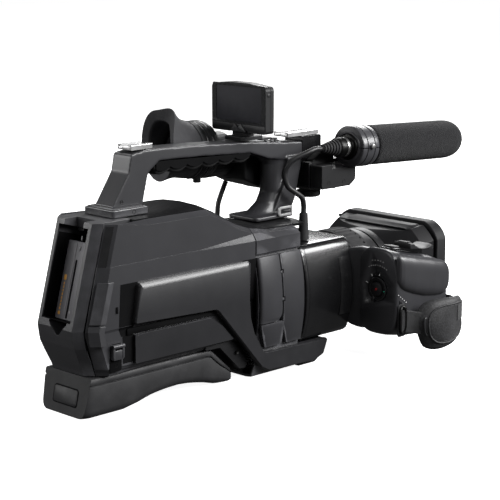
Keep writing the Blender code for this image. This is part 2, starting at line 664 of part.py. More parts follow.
def clamp_half(name, forward, start):
    """Half of the clamp ring from an angle on, parted on the plane through the microphone's axis."""
    across, above = Vector((0, 1, 0)), Vector(mic_frame(0, 0, 1)) - Vector(mic_frame(0))
    centre = Vector(mic_frame(-21))
    section = [(28, CLAMP_RADIUS), (2, CLAMP_RADIUS), (2, CLAMP_BORE), (28, CLAMP_BORE)]
    steps = 16
    rings = []
    for k in range(steps + 1):
        angle = start + PARTING + (math.pi - 2 * PARTING) * k / steps
        out = across * math.cos(angle) + above * math.sin(angle)
        rings.append([centre + forward * height + out * radius for height, radius in section])
    return loft(name, rings)


# ---------------------------------------------------------------- lens and hood

def lens():
    forward = (1, 0, 0)
    axis = (0, LENS_Y, LENS_Z)
    r = BARREL_RADIUS
    turned("lens_barrel", [(r - 2, 386), (r - 0.5, 384.5), (r - 0.5, 375.4), (r - 2, 374.6), (r - 2, 373),
                           (r, 372.2), (r, 322), (r - 3, 321), (r - 3, 290), (r - 6, 290), (r - 6, 386)],
           axis, forward, CASE, 48, closed=True)
    z = ZOOM_RADIUS
    turned("zoom_ring", [(z - 1, ZOOM_TO), (z, ZOOM_TO - 1), (z, ZOOM_FROM + 1), (z - 1, ZOOM_FROM),
                         (r + 0.4, ZOOM_FROM), (r + 0.4, ZOOM_TO)], axis, forward, RUBBER, 48, closed=True)
    turned("front_lens", [(0, 372), (14, 370.8), (26, 366.8), (36, 359), (38, 356.6), (38, 353), (0, 353)], axis,
           forward, GLASS, 32)
    box("sensor_block", (262, LENS_Y - 20, LENS_Z - 16), (281, LENS_Y + 20, LENS_Z + 16), DARK)
    box("main_board", (70, -2, 52), (225, 0, 128), BOARD)


def hood():
    y, z = LENS_Y, LENS_Z
    w, h = HOOD_HALF_WIDTH, HOOD_HALF_HEIGHT
    rings = [oval(HOOD_FROM, y, z, 42.4, 42.4, 2, 48), oval(HOOD_FROM + 9, y, z, 45, 43, 2.3, 48),
             oval(HOOD_STEP - 2, y, z, w - 8, h - 9, 5, 48), oval(HOOD_STEP, y, z, w - 3, h - 5, 6, 48),
             oval(421, y, z, w - 1.5, h - 1.8, 6.5, 48), oval(421.4, y, z, w - 2.4, h - 2.8, 6.5, 48),
             oval(422.8, y, z, w - 2.4, h - 2.8, 6.5, 48), oval(423.2, y, z, w, h, 6.5, 48),
             oval(HOOD_TO - 1.5, y, z, w, h, 6.5, 48), oval(HOOD_TO, y, z, w - 1.5, h - 1.5, 6.5, 48),
             oval(HOOD_TO, y, z, 50, SHUTTER_HALF + 6, 6.5, 48),
             oval(SHUTTER_X + 2, y, z, 48, SHUTTER_HALF + 3.6, 8, 48),
             oval(SHUTTER_X + 1.9, y, z, 57, 40, 7, 48), oval(HOOD_STEP + 3, y, z, 57, 40, 6, 48),
             oval(HOOD_FROM + 9, y, z, 40, 38, 2.3, 48), oval(HOOD_FROM, y, z, 40, 40, 2, 48)]
    loft("hood", rings, hollow=True)
    for name, side in (("upper_shutter", 1), ("lower_shutter", -1)):
        hinge = LENS_Z + side * (SHUTTER_HALF + 1)
        low, high = sorted((hinge - side * 0.6, hinge + side * 0.6))
        box(name, (SHUTTER_X - 25.6, y - 46, low), (SHUTTER_X, y + 46, high), DARK,
            pivot=(SHUTTER_X, y, hinge))
    slab("shutter_lever", [(410, 76, 3), (410, 68, 3), (420, 66.5, 3), (420, 77.5, 3)], "y",
         LENS_Y + w + 0.4, LENS_Y + w + 4, RUBBER, steps=2, pivot=(417, LENS_Y + w, 72))


# ---------------------------------------------------------------- hand grip and belt

def grip():
    outer = GRIP_OUTER
    rings = []
    for x, top, bottom, inner, shrink in ((GRIP_REAR, 113, 28.5, GRIP_INNER, 1.5),
                                          (GRIP_REAR + 2, 114, 27.4, GRIP_INNER, 0),
                                          (350, 107.5, 22, GRIP_INNER, 0), (375, 102.5, 20, GRIP_INNER, 0.4),
                                          (386, 100, 21, -59, 1), (396, 96, 24, -74.5, 2),
                                          (404, 91, 30, -75.5, 5), (409, 84, 40, -77, 9)):
        middle, half = (inner + outer) / 2, (inner - outer) / 2
        rings.append(oval(x, middle, (top + bottom) / 2, half - shrink, (top - bottom) / 2, 3.4, 32))
    shell = loft("grip_casing", rings)
    dish = rod("mode_dial_dish", (GRIP_REAR - 5, -82, 73.4), (GRIP_REAR + 3, -82, 73.4), 12.4, cutter=True,
               sides=28)
    cut(shell, dish)
    palm_rings = []
    for x, top, bottom, depth in ((GRIP_REAR + 3, 104, 77, 2.4), (GRIP_REAR + 6, 106, 72, 4),
                                  (345, 103.4, 67, 4.6), (375, 98, 60, 4.4), (396, 92, 57, 3.2),
                                  (407, 85, 60, 1)):
        middle, tall = (top + bottom) / 2, (top - bottom) / 2
        seat = outer - 0.35
        palm_rings.append([(x, seat, middle + tall), (x, seat - depth * 0.7, middle + tall * 0.86),
                           (x, seat - depth, middle + tall * 0.4), (x, seat - depth, middle - tall * 0.4),
                           (x, seat - depth * 0.7, middle - tall * 0.86), (x, seat, middle - tall)])
    loft("palm_cover", palm_rings)
    turned("power_ring", [(11.8, 1.7), (11.8, -1.6), (7.8, -1.6), (7.8, 1.7)], (GRIP_REAR + 1, -82, 73.4),
           (1, 0, 0), DARK, 28, closed=True)
    rod("record_button", (GRIP_REAR + 1.2, -82, 73.4), (GRIP_REAR - 1.6, -82, 73.4), 7.2, DARK, sides=24,
        pivot=(GRIP_REAR + 1, -82, 73.4))
    box("photo_button", (336, -88, 111.6), (346, -76, 114), turn=((341, -82, 112), "Y", math.radians(12)))
    rocker = slab("zoom_rocker", [(352, 110.6, 1), (388, 105.4, 1), (389.4, 109.6, 1.5), (376, 110.6, 3),
                                  (364, 112.4, 3), (354, 116.6, 1.5)], "y", -97, -75, steps=2,
                  pivot=(370, -86, 108))
    bevel(rocker, 0.8, 1)
    belt_pad()


def belt_pad():
    """The hand belt's pad, a curved leaf that stands off the grip with room for a hand."""
    rings = []
    for k in range(9):
        t = k / 8
        x = 336 + 66 * t
        bow = math.sin(math.pi * t)
        y = -113 - 15 * bow ** 0.8
        top, bottom = 60 + 6 * bow - 4 * t, 30 - 17 * bow + 3 * t
        thick = 5 + 1.5 * bow
        middle, tall = (top + bottom) / 2, (top - bottom) / 2
        rings.append([(x, y, middle + tall), (x, y - thick * 0.5, middle + tall * 0.96),
                      (x, y - thick, middle + tall * 0.6), (x, y - thick, middle - tall * 0.6),
                      (x, y - thick * 0.5, middle - tall * 0.96), (x, y, middle - tall)])
    loft("belt_pad", rings, RUBBER)


body()
battery()
covers()
left_controls()
handle()
monitor()
viewfinder()
xlr_adaptor()
microphone()
lens()
hood()
grip()
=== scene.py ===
"""Looks of the shoulder-mount camcorder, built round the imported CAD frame.

Shapes are given in the design's millimetres: +X forward along the lens, +Y to the left, +Z up, with y = 0 on the
handle's centre plane and z = 0 on the surface that the camcorder stands on. at() turns them into frame metres.
"""
import math

import bmesh
import bpy
from mathutils import Matrix, Vector


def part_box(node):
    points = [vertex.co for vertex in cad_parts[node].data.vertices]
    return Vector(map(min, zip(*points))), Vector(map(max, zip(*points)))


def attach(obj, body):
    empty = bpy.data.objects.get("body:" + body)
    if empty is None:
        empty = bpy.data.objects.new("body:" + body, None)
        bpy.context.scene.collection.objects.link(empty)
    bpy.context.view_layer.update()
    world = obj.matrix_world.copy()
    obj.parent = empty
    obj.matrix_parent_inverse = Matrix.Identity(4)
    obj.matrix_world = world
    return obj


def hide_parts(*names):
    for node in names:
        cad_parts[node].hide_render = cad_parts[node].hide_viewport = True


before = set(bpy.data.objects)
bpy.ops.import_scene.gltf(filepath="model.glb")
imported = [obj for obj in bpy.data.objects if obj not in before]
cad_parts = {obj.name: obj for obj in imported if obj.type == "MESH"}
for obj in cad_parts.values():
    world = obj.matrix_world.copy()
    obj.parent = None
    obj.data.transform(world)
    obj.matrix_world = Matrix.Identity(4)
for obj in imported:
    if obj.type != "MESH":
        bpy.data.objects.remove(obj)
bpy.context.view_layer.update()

MM = 0.001
HOOD_FRONT = 438                     # design x of the hood's front face
BODY = "camcorder_body"

GRIP_LOW, GRIP_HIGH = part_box("handle_grip")
ORIGIN = Vector((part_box("hood")[1].x - HOOD_FRONT * MM, GRIP_LOW.y / 2 + GRIP_HIGH.y / 2, 0))
TO_FRAME = Matrix.Translation(ORIGIN) @ Matrix.Diagonal((MM, MM, MM, 1))


def at(x, y, z):
    return TO_FRAME @ Vector((x, y, z))


# ---------------------------------------------------------------- camera, stage and light

CAMERA_PLACE = (-856.3, -1081.7, 425.6)
CAMERA_AZIMUTH, CAMERA_ELEVATION = 45, 11.5      # degrees
CAMERA_LENS = 115.34
WORLD_LIGHT = 0.075                  # strength of the white world for every ray but the camera's
FLOOR_DROP = 0.0006
LAMPS = (
    # name, place and aim in metres, width, watts, height
    ("key", (0.35, -1.35, 1.15), (0, 0, 0.1), 1.3, 36, 0.7),
    ("side", (1.15, -1.2, 0.78), (0, 0, 0.1), 1.1, 34, 0.55),
    ("tail", (-1.25, 1.2, 0.62), (-0.1, 0, 0.1), 0.9, 9, 0.5),
    ("back", (0.2, 0.9, 1.2), (0, 0, 0.15), 1.6, 7, 0.4),
    ("rear", (-1.7, 0.35, 0.9), (-0.2, 0, 0.1), 0.9, 9, 0.9),
    ("front", (1.5, 0.9, 0.9), (0.1, 0, 0.1), 0.9, 14, 0.6),
)


def camera():
    data = bpy.data.cameras.new("camera")
    data.lens = CAMERA_LENS
    data.sensor_width = 36
    data.clip_start = 0.05
    data.clip_end = 30
    obj = bpy.data.objects.new("camera", data)
    bpy.context.scene.collection.objects.link(obj)
    azimuth, elevation = math.radians(CAMERA_AZIMUTH), math.radians(CAMERA_ELEVATION)
    ahead = Vector((math.sin(azimuth) * math.cos(elevation), math.cos(azimuth) * math.cos(elevation),
                    -math.sin(elevation)))
    obj.location = at(*CAMERA_PLACE)
    obj.rotation_euler = ahead.to_track_quat("-Z", "Y").to_euler()
    bpy.context.scene.camera = obj


def lamp(name, place, aim, width, watts, height):
    data = bpy.data.lights.new(name, "AREA")
    data.shape = "RECTANGLE"
    data.size = width
    data.size_y = height
    data.energy = watts
    obj = bpy.data.objects.new(name, data)
    bpy.context.scene.collection.objects.link(obj)
    obj.location = place
    obj.rotation_euler = (Vector(aim) - Vector(place)).to_track_quat("-Z", "Y").to_euler()


def studio():
    scene = bpy.context.scene
    scene.view_settings.view_transform = "Standard"
    scene.view_settings.look = "None"
    world = bpy.data.worlds.new("studio")
    scene.world = world
    world.use_nodes = True
    background = world.node_tree.nodes["Background"]
    background.inputs["Color"].default_value = (1, 1, 1, 1)
    seen = world.node_tree.nodes.new("ShaderNodeLightPath").outputs["Is Camera Ray"]
    strength = world.node_tree.nodes.new("ShaderNodeMapRange")
    strength.inputs["To Min"].default_value = WORLD_LIGHT
    strength.inputs["To Max"].default_value = 1.0
    world.node_tree.links.new(seen, strength.inputs["Value"])
    world.node_tree.links.new(strength.outputs["Result"], background.inputs["Strength"])
    for row in LAMPS:
        lamp(*row)
    bm = bmesh.new()
    bmesh.ops.create_grid(bm, x_segments=1, y_segments=1, size=6)
    mesh = bpy.data.meshes.new("floor")
    bm.to_mesh(mesh)
    bm.free()
    floor = bpy.data.objects.new("floor", mesh)
    scene.collection.objects.link(floor)
    floor.location.z = -FLOOR_DROP
    floor.visible_glossy = False
    floor.visible_diffuse = False
    mesh.materials.append(floor_material())


# ---------------------------------------------------------------- materials

class Nodes:
    """A material's node tree with short ways to add to it; everything is in the mesh's own metres."""

    def __init__(self, name):
        self.material = bpy.data.materials.new(name)
        self.material.use_nodes = True
        self.tree = self.material.node_tree
        self.shader = self.tree.nodes["Principled BSDF"]
        self.place = self.add("ShaderNodeTexCoord").outputs["Object"]

    def add(self, kind, **values):
        made = self.tree.nodes.new(kind)
        for key, value in values.items():
            setattr(made, key, value)
        return made

    def link(self, source, target):
        self.tree.links.new(source, target)

    def value(self, node, name, given):
        """Sets a socket to a number, or links it to another socket."""
        if isinstance(given, bpy.types.NodeSocket):
            self.link(given, node.inputs[name])
        else:
            node.inputs[name].default_value = given

    def noise(self, scale, detail=2.0, roughness=0.5, place=None, distortion=0.0):
        made = self.add("ShaderNodeTexNoise")
        self.link(place or self.place, made.inputs["Vector"])
        for name, given in (("Scale", scale), ("Detail", detail), ("Roughness", roughness),
                            ("Distortion", distortion)):
            made.inputs[name].default_value = given
        return made.outputs["Fac"]

    def cells(self, scale):
        made = self.add("ShaderNodeTexVoronoi", feature="F1")
        self.link(self.place, made.inputs["Vector"])
        made.inputs["Scale"].default_value = scale
        return made.outputs["Distance"]

    def ramp(self, source, stops):
        made = self.add("ShaderNodeValToRGB")
        self.link(source, made.inputs["Fac"])
        elements = made.color_ramp.elements
        while len(elements) < len(stops):
            elements.new(0.5)
        for element, (position, colour) in zip(elements, stops):
            element.position = position
            element.color = (*colour, 1) if len(colour) == 3 else colour
        return made.outputs["Color"]

    def range(self, source, low, high, from_low=0.0, from_high=1.0):
        made = self.add("ShaderNodeMapRange")
        self.link(source, made.inputs["Value"])
        for name, given in (("From Min", from_low), ("From Max", from_high), ("To Min", low),
                            ("To Max", high)):
            made.inputs[name].default_value = given
        return made.outputs["Result"]

    def maths(self, operation, first, second=0.0):
        made = self.add("ShaderNodeMath", operation=operation)
        self.value(made, 0, first)
        self.value(made, 1, second)
        return made.outputs["Value"]

    def mix(self, share, first, second):
        made = self.add("ShaderNodeMix", data_type="RGBA")
        self.value(made, 0, share)
        for slot, given in ((6, first), (7, second)):
            if isinstance(given, bpy.types.NodeSocket):
                self.link(given, made.inputs[slot])
            else:
                made.inputs[slot].default_value = (*given, 1)
        return made.outputs[2]

    def bump(self, height, strength, distance, under=None):
        made = self.add("ShaderNodeBump")
        made.inputs["Strength"].default_value = strength
        made.inputs["Distance"].default_value = distance
        self.link(height, made.inputs["Height"])
        if under:
            self.link(under, made.inputs["Normal"])
        return made.outputs["Normal"]

    def edges(self):
        """1 on sharp outside edges, 0 elsewhere: the mask for rubbed wear and for painted edge highlights."""
        return self.range(self.add("ShaderNodeNewGeometry").outputs["Pointiness"], 0, 1, 0.53, 0.6)

    def finish(self, colour=None, roughness=None, normal=None, **constants):
        for name, given in (("Base Color", colour), ("Roughness", roughness), ("Normal", normal)):
            if isinstance(given, bpy.types.NodeSocket):
                self.link(given, self.shader.inputs[name])
            elif given is not None:
                self.shader.inputs[name].default_value = given if name == "Roughness" else (*given, 1)
        for name, given in constants.items():
            self.shader.inputs[name.replace("_", " ")].default_value = given
        return self.material


def floor_material():
    n = Nodes("floor_paper")
    return n.finish(n.mix(n.noise(3), (0.9, 0.9, 0.9), (0.92, 0.92, 0.92)), 0.6,
                    Emission_Color=(1, 1, 1, 1), Emission_Strength=0.94)


def moulding(name, tone=0.03, rough=0.42, grain=0.35, size=1700, wear_and_highlight=0.5, warm=0.0, **constants):
    """Moulded plastic: spark-eroded grain, faint flow marks, and outside edges lighter and smoother, partly rubbed
    wear and partly a painted highlight.
    """
    n = Nodes(name)
    base = (tone * (1 + warm), tone, tone * (1.1 - warm))
    light = tuple(min(1, c * 1.22 + 0.002) for c in base)
    marks = n.noise(26, 5, 0.6)
    body = n.mix(n.range(marks, 0, 1, 0.3, 0.8), base, light)
    # Outside edges lightened: partly rubbed wear, partly a painted highlight standing in for the glint on rounded
    # edges.
    worn_and_highlit = tuple(min(1, c * 2.6 + 0.02) for c in base)
    edge = n.maths("MULTIPLY", n.edges(), n.range(n.noise(90, 4), 0.25 * wear_and_highlight, wear_and_highlight, 0.35, 0.7))
    colour = n.mix(edge, body, worn_and_highlit)
    smear = n.noise(9, 6, 0.65, distortion=0.6)
    roughness = n.maths("SUBTRACT", n.range(smear, rough - 0.02, rough + 0.03, 0.3, 0.7),
                        n.maths("MULTIPLY", edge, 0.12))
    normal = n.bump(n.cells(size), grain * 0.5, 0.00006, n.bump(n.noise(size * 0.6, 3), grain, 0.00005))
    return n.finish(colour, roughness, normal, **constants)


def rubber(name, tone=0.018, rough=0.78, speck=2400):
    """Matt rubber with a dusty bloom in the hollows of its grain."""
    n = Nodes(name)
    bloom = n.range(n.noise(38, 6, 0.7), 0, 1, 0.4, 0.75)
    base = (tone, tone, tone * 1.08)
    colour = n.mix(bloom, base, tuple(c * 1.5 + 0.004 for c in base))
    roughness = n.range(n.noise(60, 4), rough - 0.08, rough + 0.08, 0.3, 0.7)
    return n.finish(colour, roughness, n.bump(n.noise(speck, 4, 0.7), 0.5, 0.00008), Specular_IOR_Level=0.4)


def plated(name, tone=0.72, rough=0.18, metal=1.0):
    """Bright plate with fine scratches and finger marks."""
    n = Nodes(name)
    stretch = n.add("ShaderNodeMapping")
    n.link(n.place, stretch.inputs["Vector"])
    stretch.inputs["Scale"].default_value = (60, 900, 900)
    scratch = n.noise(4, 3, 0.6, stretch.outputs["Vector"])
    colour = n.mix(n.noise(70, 3), (tone, tone, tone * 0.99), (tone * 0.8, tone * 0.8, tone * 0.81))
    roughness = n.range(n.noise(45, 5), rough, rough + 0.2, 0.35, 0.75)
    return n.finish(colour, roughness, n.bump(scratch, 0.25, 0.00003), Metallic=metal)


def turned_metal(name, tone=0.5, rough=0.3):
    """Satin metal with the fine rings that a lathe leaves round the X axis."""
    n = Nodes(name)
    parts = n.add("ShaderNodeSeparateXYZ")
    n.link(n.place, parts.inputs["Vector"])
    rings = n.add("ShaderNodeTexWave", bands_direction="X")
    n.link(n.place, rings.inputs["Vector"])
    rings.inputs["Scale"].default_value = 900
    rings.inputs["Distortion"].default_value = 1.5
    colour = n.mix(n.noise(120, 3), (tone, tone, tone * 0.98), (tone * 0.7, tone * 0.7, tone * 0.7))
    roughness = n.range(rings.outputs["Fac"], rough - 0.06, rough + 0.12)
    return n.finish(colour, roughness, n.bump(rings.outputs["Fac"], 0.2, 0.00003), Metallic=1.0)


def foam(name):
    """Open-cell foam: fine pores, furry from a distance."""
    n = Nodes(name)
    pores = n.cells(900)
    fuzz = n.noise(1500, 6, 0.8)
    colour = n.mix(n.range(pores, 0, 1, 0.05, 0.5), (0.030, 0.030, 0.032), (0.006, 0.006, 0.007))
    normal = n.bump(fuzz, 1.0, 0.0006, n.bump(pores, 1.0, 0.0007))
    return n.finish(colour, 0.95, normal, Specular_IOR_Level=0.15, Sheen_Weight=0.08, Sheen_Roughness=0.6)


def leather(name, tone=0.035):
    """Embossed synthetic leather."""
    n = Nodes(name)
    pebble = n.cells(620)
    colour = n.mix(n.range(pebble, 0, 1, 0.1, 0.6), (tone, tone, tone * 1.1),
                   (tone * 0.5, tone * 0.5, tone * 0.52))
    roughness = n.range(n.noise(80, 4), 0.5, 0.66, 0.3, 0.7)
    normal = n.bump(pebble, 0.6, 0.00022, n.bump(n.noise(1800, 3), 0.3, 0.00008))
    return n.finish(colour, roughness, normal)


def webbing(name, tone=0.02):
    """Woven nylon: ribs along Z crossed by a fine weft along X."""
    n = Nodes(name)
    warp = n.add("ShaderNodeTexWave", bands_direction="Z")
    weft = n.add("ShaderNodeTexWave", bands_direction="X")
    for wave, scale in ((warp, 260), (weft, 420)):
        n.link(n.place, wave.inputs["Vector"])
        wave.inputs["Scale"].default_value = scale
    weave = n.maths("MULTIPLY", warp.outputs["Fac"], weft.outputs["Fac"])
    colour = n.mix(weave, (tone * 0.5, tone * 0.5, tone * 0.55), (tone * 1.6, tone * 1.6, tone * 1.7))
    return n.finish(colour, 0.72, n.bump(weave, 0.8, 0.0003), Sheen_Weight=0.2)


def coated_glass(name):
    """Front element: dark glass under a violet and green coating."""
    n = Nodes(name)
    facing = n.add("ShaderNodeLayerWeight")
    facing.inputs["Blend"].default_value = 0.35
    tint = n.ramp(facing.outputs["Facing"], [(0.0, (0.02, 0.01, 0.05)), (0.45, (0.05, 0.015, 0.09)),
                                             (0.8, (0.01, 0.05, 0.05))])
    dust = n.range(n.noise(400, 5), 0.03, 0.08)
    return n.finish(tint, dust, None, Coat_Weight=1.0, Coat_Roughness=0.02, IOR=1.6)


def screen_glass(name):
    """The monitor's switched-off panel under an anti-glare film."""
    n = Nodes(name)
    smear = n.noise(30, 5, 0.65, distortion=0.8)
    colour = n.mix(n.range(smear, 0, 1, 0.4, 0.7), (0.020, 0.020, 0.024), (0.028, 0.028, 0.033))
    return n.finish(colour, n.range(smear, 0.5, 0.6, 0.3, 0.7), n.bump(n.noise(5200, 1), 0.05, 0.00003),
                    Specular_IOR_Level=0.12)


def laminate(name):
    """Green circuit laminate with copper tracks."""
    n = Nodes(name)
    tracks = n.add("ShaderNodeTexBrick")
    n.link(n.place, tracks.inputs["Vector"])
    tracks.inputs["Scale"].default_value = 120
    colour = n.mix(n.range(n.noise(200, 2), 0, 1, 0.5, 0.52), (0.01, 0.09, 0.03), (0.03, 0.16, 0.06))
    return n.finish(colour, 0.35, n.bump(tracks.outputs["Fac"], 0.4, 0.0001))


def paint(name, colour, rough=0.4):
    """A printed mark or a tinted lens, thin and slightly uneven."""
    n = Nodes(name)
    uneven = n.range(n.noise(600, 3), 0, 1, 0.35, 0.7)
    return n.finish(n.mix(uneven, colour, tuple(c * 0.8 for c in colour)), rough)


FINISHES = {
    "case": moulding("case_moulding", 0.026, 0.33, wear_and_highlight=1.1),
    "case_dark": moulding("dark_moulding", 0.007, 0.44, wear_and_highlight=0.35, Specular_IOR_Level=0.3),
    "hood": moulding("hood_moulding", 0.009, 0.5, wear_and_highlight=0.12, Specular_IOR_Level=0.16),
    # The soft rubber with its tone raised about threefold: painted light standing in for light that the eyecup's rim
    # doesn't get.
    "eyecup_rubber_painted_light": rubber("eyecup_rubber_painted_light", 0.032),
    "case_gloss": moulding("glossy_moulding", 0.006, 0.24, grain=0.12, wear_and_highlight=0.25, Coat_Weight=0.35,
                           Coat_Roughness=0.12),
    "panel": moulding("panel_moulding", 0.015, 0.32, grain=0.2, wear_and_highlight=0.9),
    "frame": moulding("frame_moulding", 0.026, 0.42, grain=0.5, wear_and_highlight=1.1),
    "handle": moulding("handle_moulding", 0.024, 0.34, grain=0.2, wear_and_highlight=1.2),
    "palm": moulding("palm_moulding", 0.024, 0.36, grain=0.25),
    "battery": moulding("battery_moulding", 0.095, 0.5, grain=0.4, warm=0.02),
    # Near black with almost no specular: painted shade for grooves, slots, holes, seams, channels and the battery
    # well, where shade falls.
    "recess_shade": moulding("recess_shade_black", 0.003, 0.65, wear_and_highlight=0.05, Specular_IOR_Level=0.04),
    "key": moulding("key_moulding", 0.009, 0.45, Specular_IOR_Level=0.35),
    "rubber": rubber("soft_rubber", 0.010),
    "grip_rubber": rubber("grip_rubber", 0.005, 0.7),
    "pad_rubber": rubber("pad_rubber", 0.014, 0.55, 1600),
    "sheath": rubber("cable_sheath", 0.009, 0.45, 1200),
    "chrome": plated("bright_plate", 0.62, 0.26, 0.8),
    "metal": turned_metal("satin_metal"),
    "dark_metal": turned_metal("black_anodised", 0.03, 0.4),
    "foam": foam("foam_cells"),
    "leather": leather("pad_leather"),
    "webbing": webbing("strap_webbing"),
    "lens": coated_glass("lens_coating"),
    "screen": screen_glass("screen_film"),
    "board": laminate("circuit_laminate"),
    "thread": webbing("belt_thread", 0.03),
    "amber": paint("amber_print", (0.62, 0.30, 0.05)),
    "white": paint("white_print", (0.72, 0.72, 0.72)),
    "print_grey": paint("grey_print", (0.25, 0.25, 0.25)),
    "clamp_moulding": moulding("clamp_moulding", 0.035, 0.3, grain=0.15),
    "green": paint("green_mark", (0.02, 0.35, 0.22)),
    "red": paint("red_mark", (0.45, 0.02, 0.02)),
    "gold": plated("gold_contact", 0.6, 0.25),
}


# ---------------------------------------------------------------- shape helpers, in design millimetres

def piece(name, bm, finish, body=BODY, slot=None, replaces=(), angle=35):
    """One visual piece from a bmesh in design millimetres; it rides on a body. Its slot argument is not used."""
    bmesh.ops.recalc_face_normals(bm, faces=bm.faces[:])
    bm.transform(TO_FRAME)
    mesh = bpy.data.meshes.new(name)
    bm.to_mesh(mesh)
    bm.free()
    obj = bpy.data.objects.new(name, mesh)
    bpy.context.scene.collection.objects.link(obj)
    return dress(obj, finish, body, replaces, angle)


def dress(obj, finish, body=BODY, replaces=(), angle=35):
    obj.data.materials.clear()
    obj.data.materials.append(FINISHES[finish])
    if obj.type == "MESH":
        obj.data.shade_smooth()
        obj.data.set_sharp_from_angle(angle=math.radians(angle))
    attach(obj, body)
    if replaces:
        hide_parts(*replaces)
    return obj


def soften(obj, width, segments=2, degrees=30):
    """Rounds the outside and inside edges sharper than an angle."""
    edge = obj.modifiers.new("rounding", "BEVEL")
    edge.width = width * MM
    edge.segments = segments
    edge.limit_method = "ANGLE"
    edge.angle_limit = math.radians(degrees)
    edge.harden_normals = False
    return obj


def cuboid(low, high):
    bm = bmesh.new()
    bmesh.ops.create_cube(bm, size=1)
    low, high = Vector(low), Vector(high)
    bmesh.ops.scale(bm, verts=bm.verts[:], vec=high - low)
    bmesh.ops.translate(bm, verts=bm.verts[:], vec=(low + high) / 2)
    return bm


def skin(rings, capped=True, hollow=False):
    """Faces between closed rings of equal count; hollow joins the last ring to the first."""
    bm = bmesh.new()
    rows = [[bm.verts.new(point) for point in ring] for ring in rings]
    pairs = list(zip(rows, rows[1:]))
    if hollow:
        pairs.append((rows[-1], rows[0]))
    for near, far in pairs:
        count = len(near)
        for k in range(count):
            j = (k + 1) % count
            bm.faces.new((near[k], near[j], far[j], far[k]))
    if capped and not hollow:
        bm.faces.new(rows[0][::-1])
        bm.faces.new(rows[-1])
    return bm


def lathe(profile, origin, direction, steps=48, closed=False):
    """Turns a (radius, height) profile about a line; a zero radius closes to a point."""
    direction = Vector(direction).normalized()
    turn = direction.to_track_quat("Z", "Y").to_matrix()
    origin = Vector(origin)
    bm = bmesh.new()
    rows = []
    for radius, height in profile:
        if radius < 1e-6:
            rows.append([bm.verts.new(origin + turn @ Vector((0, 0, height)))])
            continue
        row = []
        for k in range(steps):
            angle = math.tau * k / steps
            row.append(bm.verts.new(origin + turn @ Vector((radius * math.cos(angle),
                                                            radius * math.sin(angle),
                                                            height))))
        rows.append(row)
    pairs = list(zip(rows, rows[1:]))
    if closed:
        pairs.append((rows[-1], rows[0]))
    for near, far in pairs:
        for k in range(steps):
            j = (k + 1) % steps
            ring = [near[k % len(near)], near[j % len(near)], far[j % len(far)], far[k % len(far)]]
            corners = list(dict.fromkeys(ring))
            if len(corners) > 2:
                bm.faces.new(corners)
    return bm


def rod(start, end, radius, steps=24, round_edge=0.3):
    """A rod with rounded rims between two points."""
    start, end = Vector(start), Vector(end)
    length = (end - start).length
    edge = min(round_edge, length / 3, radius / 3)
    profile = [(0, 0), (radius - edge, 0), (radius - edge * 0.3, edge * 0.3), (radius, edge),
               (radius, length - edge), (radius - edge * 0.3, length - edge * 0.3), (radius - edge, length),
               (0, length)]
    return lathe(profile, start, end - start, steps)


def rounded(corners, steps=5):
    """Corner list (u, v, radius) to a closed outline with each corner turned as an arc."""
    points = []
    count = len(corners)
    for index, (u, v, radius) in enumerate(corners):
        here = Vector((u, v))
        if radius <= 0:
            points.append(here)
            continue
        before = (Vector(corners[index - 1][:2]) - here).normalized()
        after = (Vector(corners[(index + 1) % count][:2]) - here).normalized()
        half = before.angle(after) / 2
        centre = here + (before + after).normalized() * radius / math.sin(half)
        first = here + before * radius / math.tan(half) - centre
        last = here + after * radius / math.tan(half) - centre
        start = math.atan2(first.y, first.x)
        swing = (math.atan2(last.y, last.x) - start + math.pi) % math.tau - math.pi
        for step in range(steps + 1):
            angle = start + swing * step / steps
            points.append(centre + Vector((math.cos(angle), math.sin(angle))) * radius)
    return points


PLANES = {
    "x": lambda u, v, depth: Vector((depth, u, v)),
    "y": lambda u, v, depth: Vector((u, depth, v)),
    "z": lambda u, v, depth: Vector((u, v, depth)),
}


def plate(corners, axis, low, high, edge=0.4, steps=5):
    """A flat outline thickened along an axis, with its rims rounded inwards by edge."""
    outline = rounded(corners, steps)
    middle = sum(outline, Vector((0, 0))) / len(outline)
    place = PLANES[axis]

    def ring(depth, inset):
        return [place(*(p + (middle - p).normalized() * inset), depth) for p in outline]

    edge = min(edge, abs(high - low) / 2.2)
    step = edge if high > low else -edge
    return skin([ring(low, edge), ring(low + step * 0.3, edge * 0.3), ring(low + step, 0),
                 ring(high - step, 0),
                 ring(high - step * 0.3, edge * 0.3), ring(high, edge)])


def rectangle(u0, v0, u1, v1, radius=1.0):
    return [(u0, v0, radius), (u1, v0, radius), (u1, v1, radius), (u0, v1, radius)]


def joined(parts):
    """Several bmeshes as one."""
    whole = bmesh.new()
    for part in parts:
        mesh = bpy.data.meshes.new("part")
        part.to_mesh(mesh)
        part.free()
        whole.from_mesh(mesh)
        bpy.data.meshes.remove(mesh)
    return whole


def spline_point(a, b, c, d, t):
    """A point from b (t = 0) to c (t = 1) on the Catmull-Rom curve through a, b, c and d."""
    return 0.5 * (2 * b + (c - a) * t + (2 * a - 5 * b + 4 * c - d) * t ** 2
                  + (3 * b - a - 3 * c + d) * t ** 3)


def signed_power(value, power):
    return math.copysign(abs(value) ** power, value)


def smooth_route(points, per_span=8):
    """Catmull-Rom points through a given route."""
    path = [Vector(p) for p in points]
    ends = [path[0] * 2 - path[1]] + path + [path[-1] * 2 - path[-2]]
    smooth = []
    for k in range(1, len(ends) - 2):
        a, b, c, d = ends[k - 1:k + 3]
        for step in range(per_span):
            t = step / per_span
            smooth.append(spline_point(a, b, c, d, t))
    smooth.append(path[-1])
    return smooth


def along(table, value):
    """Straight-line reading of a table of (position, height) pairs."""
    for (a, low), (b, high) in zip(table, table[1:]):
        if value <= b:
            return low + (high - low) * (value - a) / (b - a)
    return table[-1][1]


def steps_between(low, high, count):
    return [low + (high - low) * k / count for k in range(count + 1)]


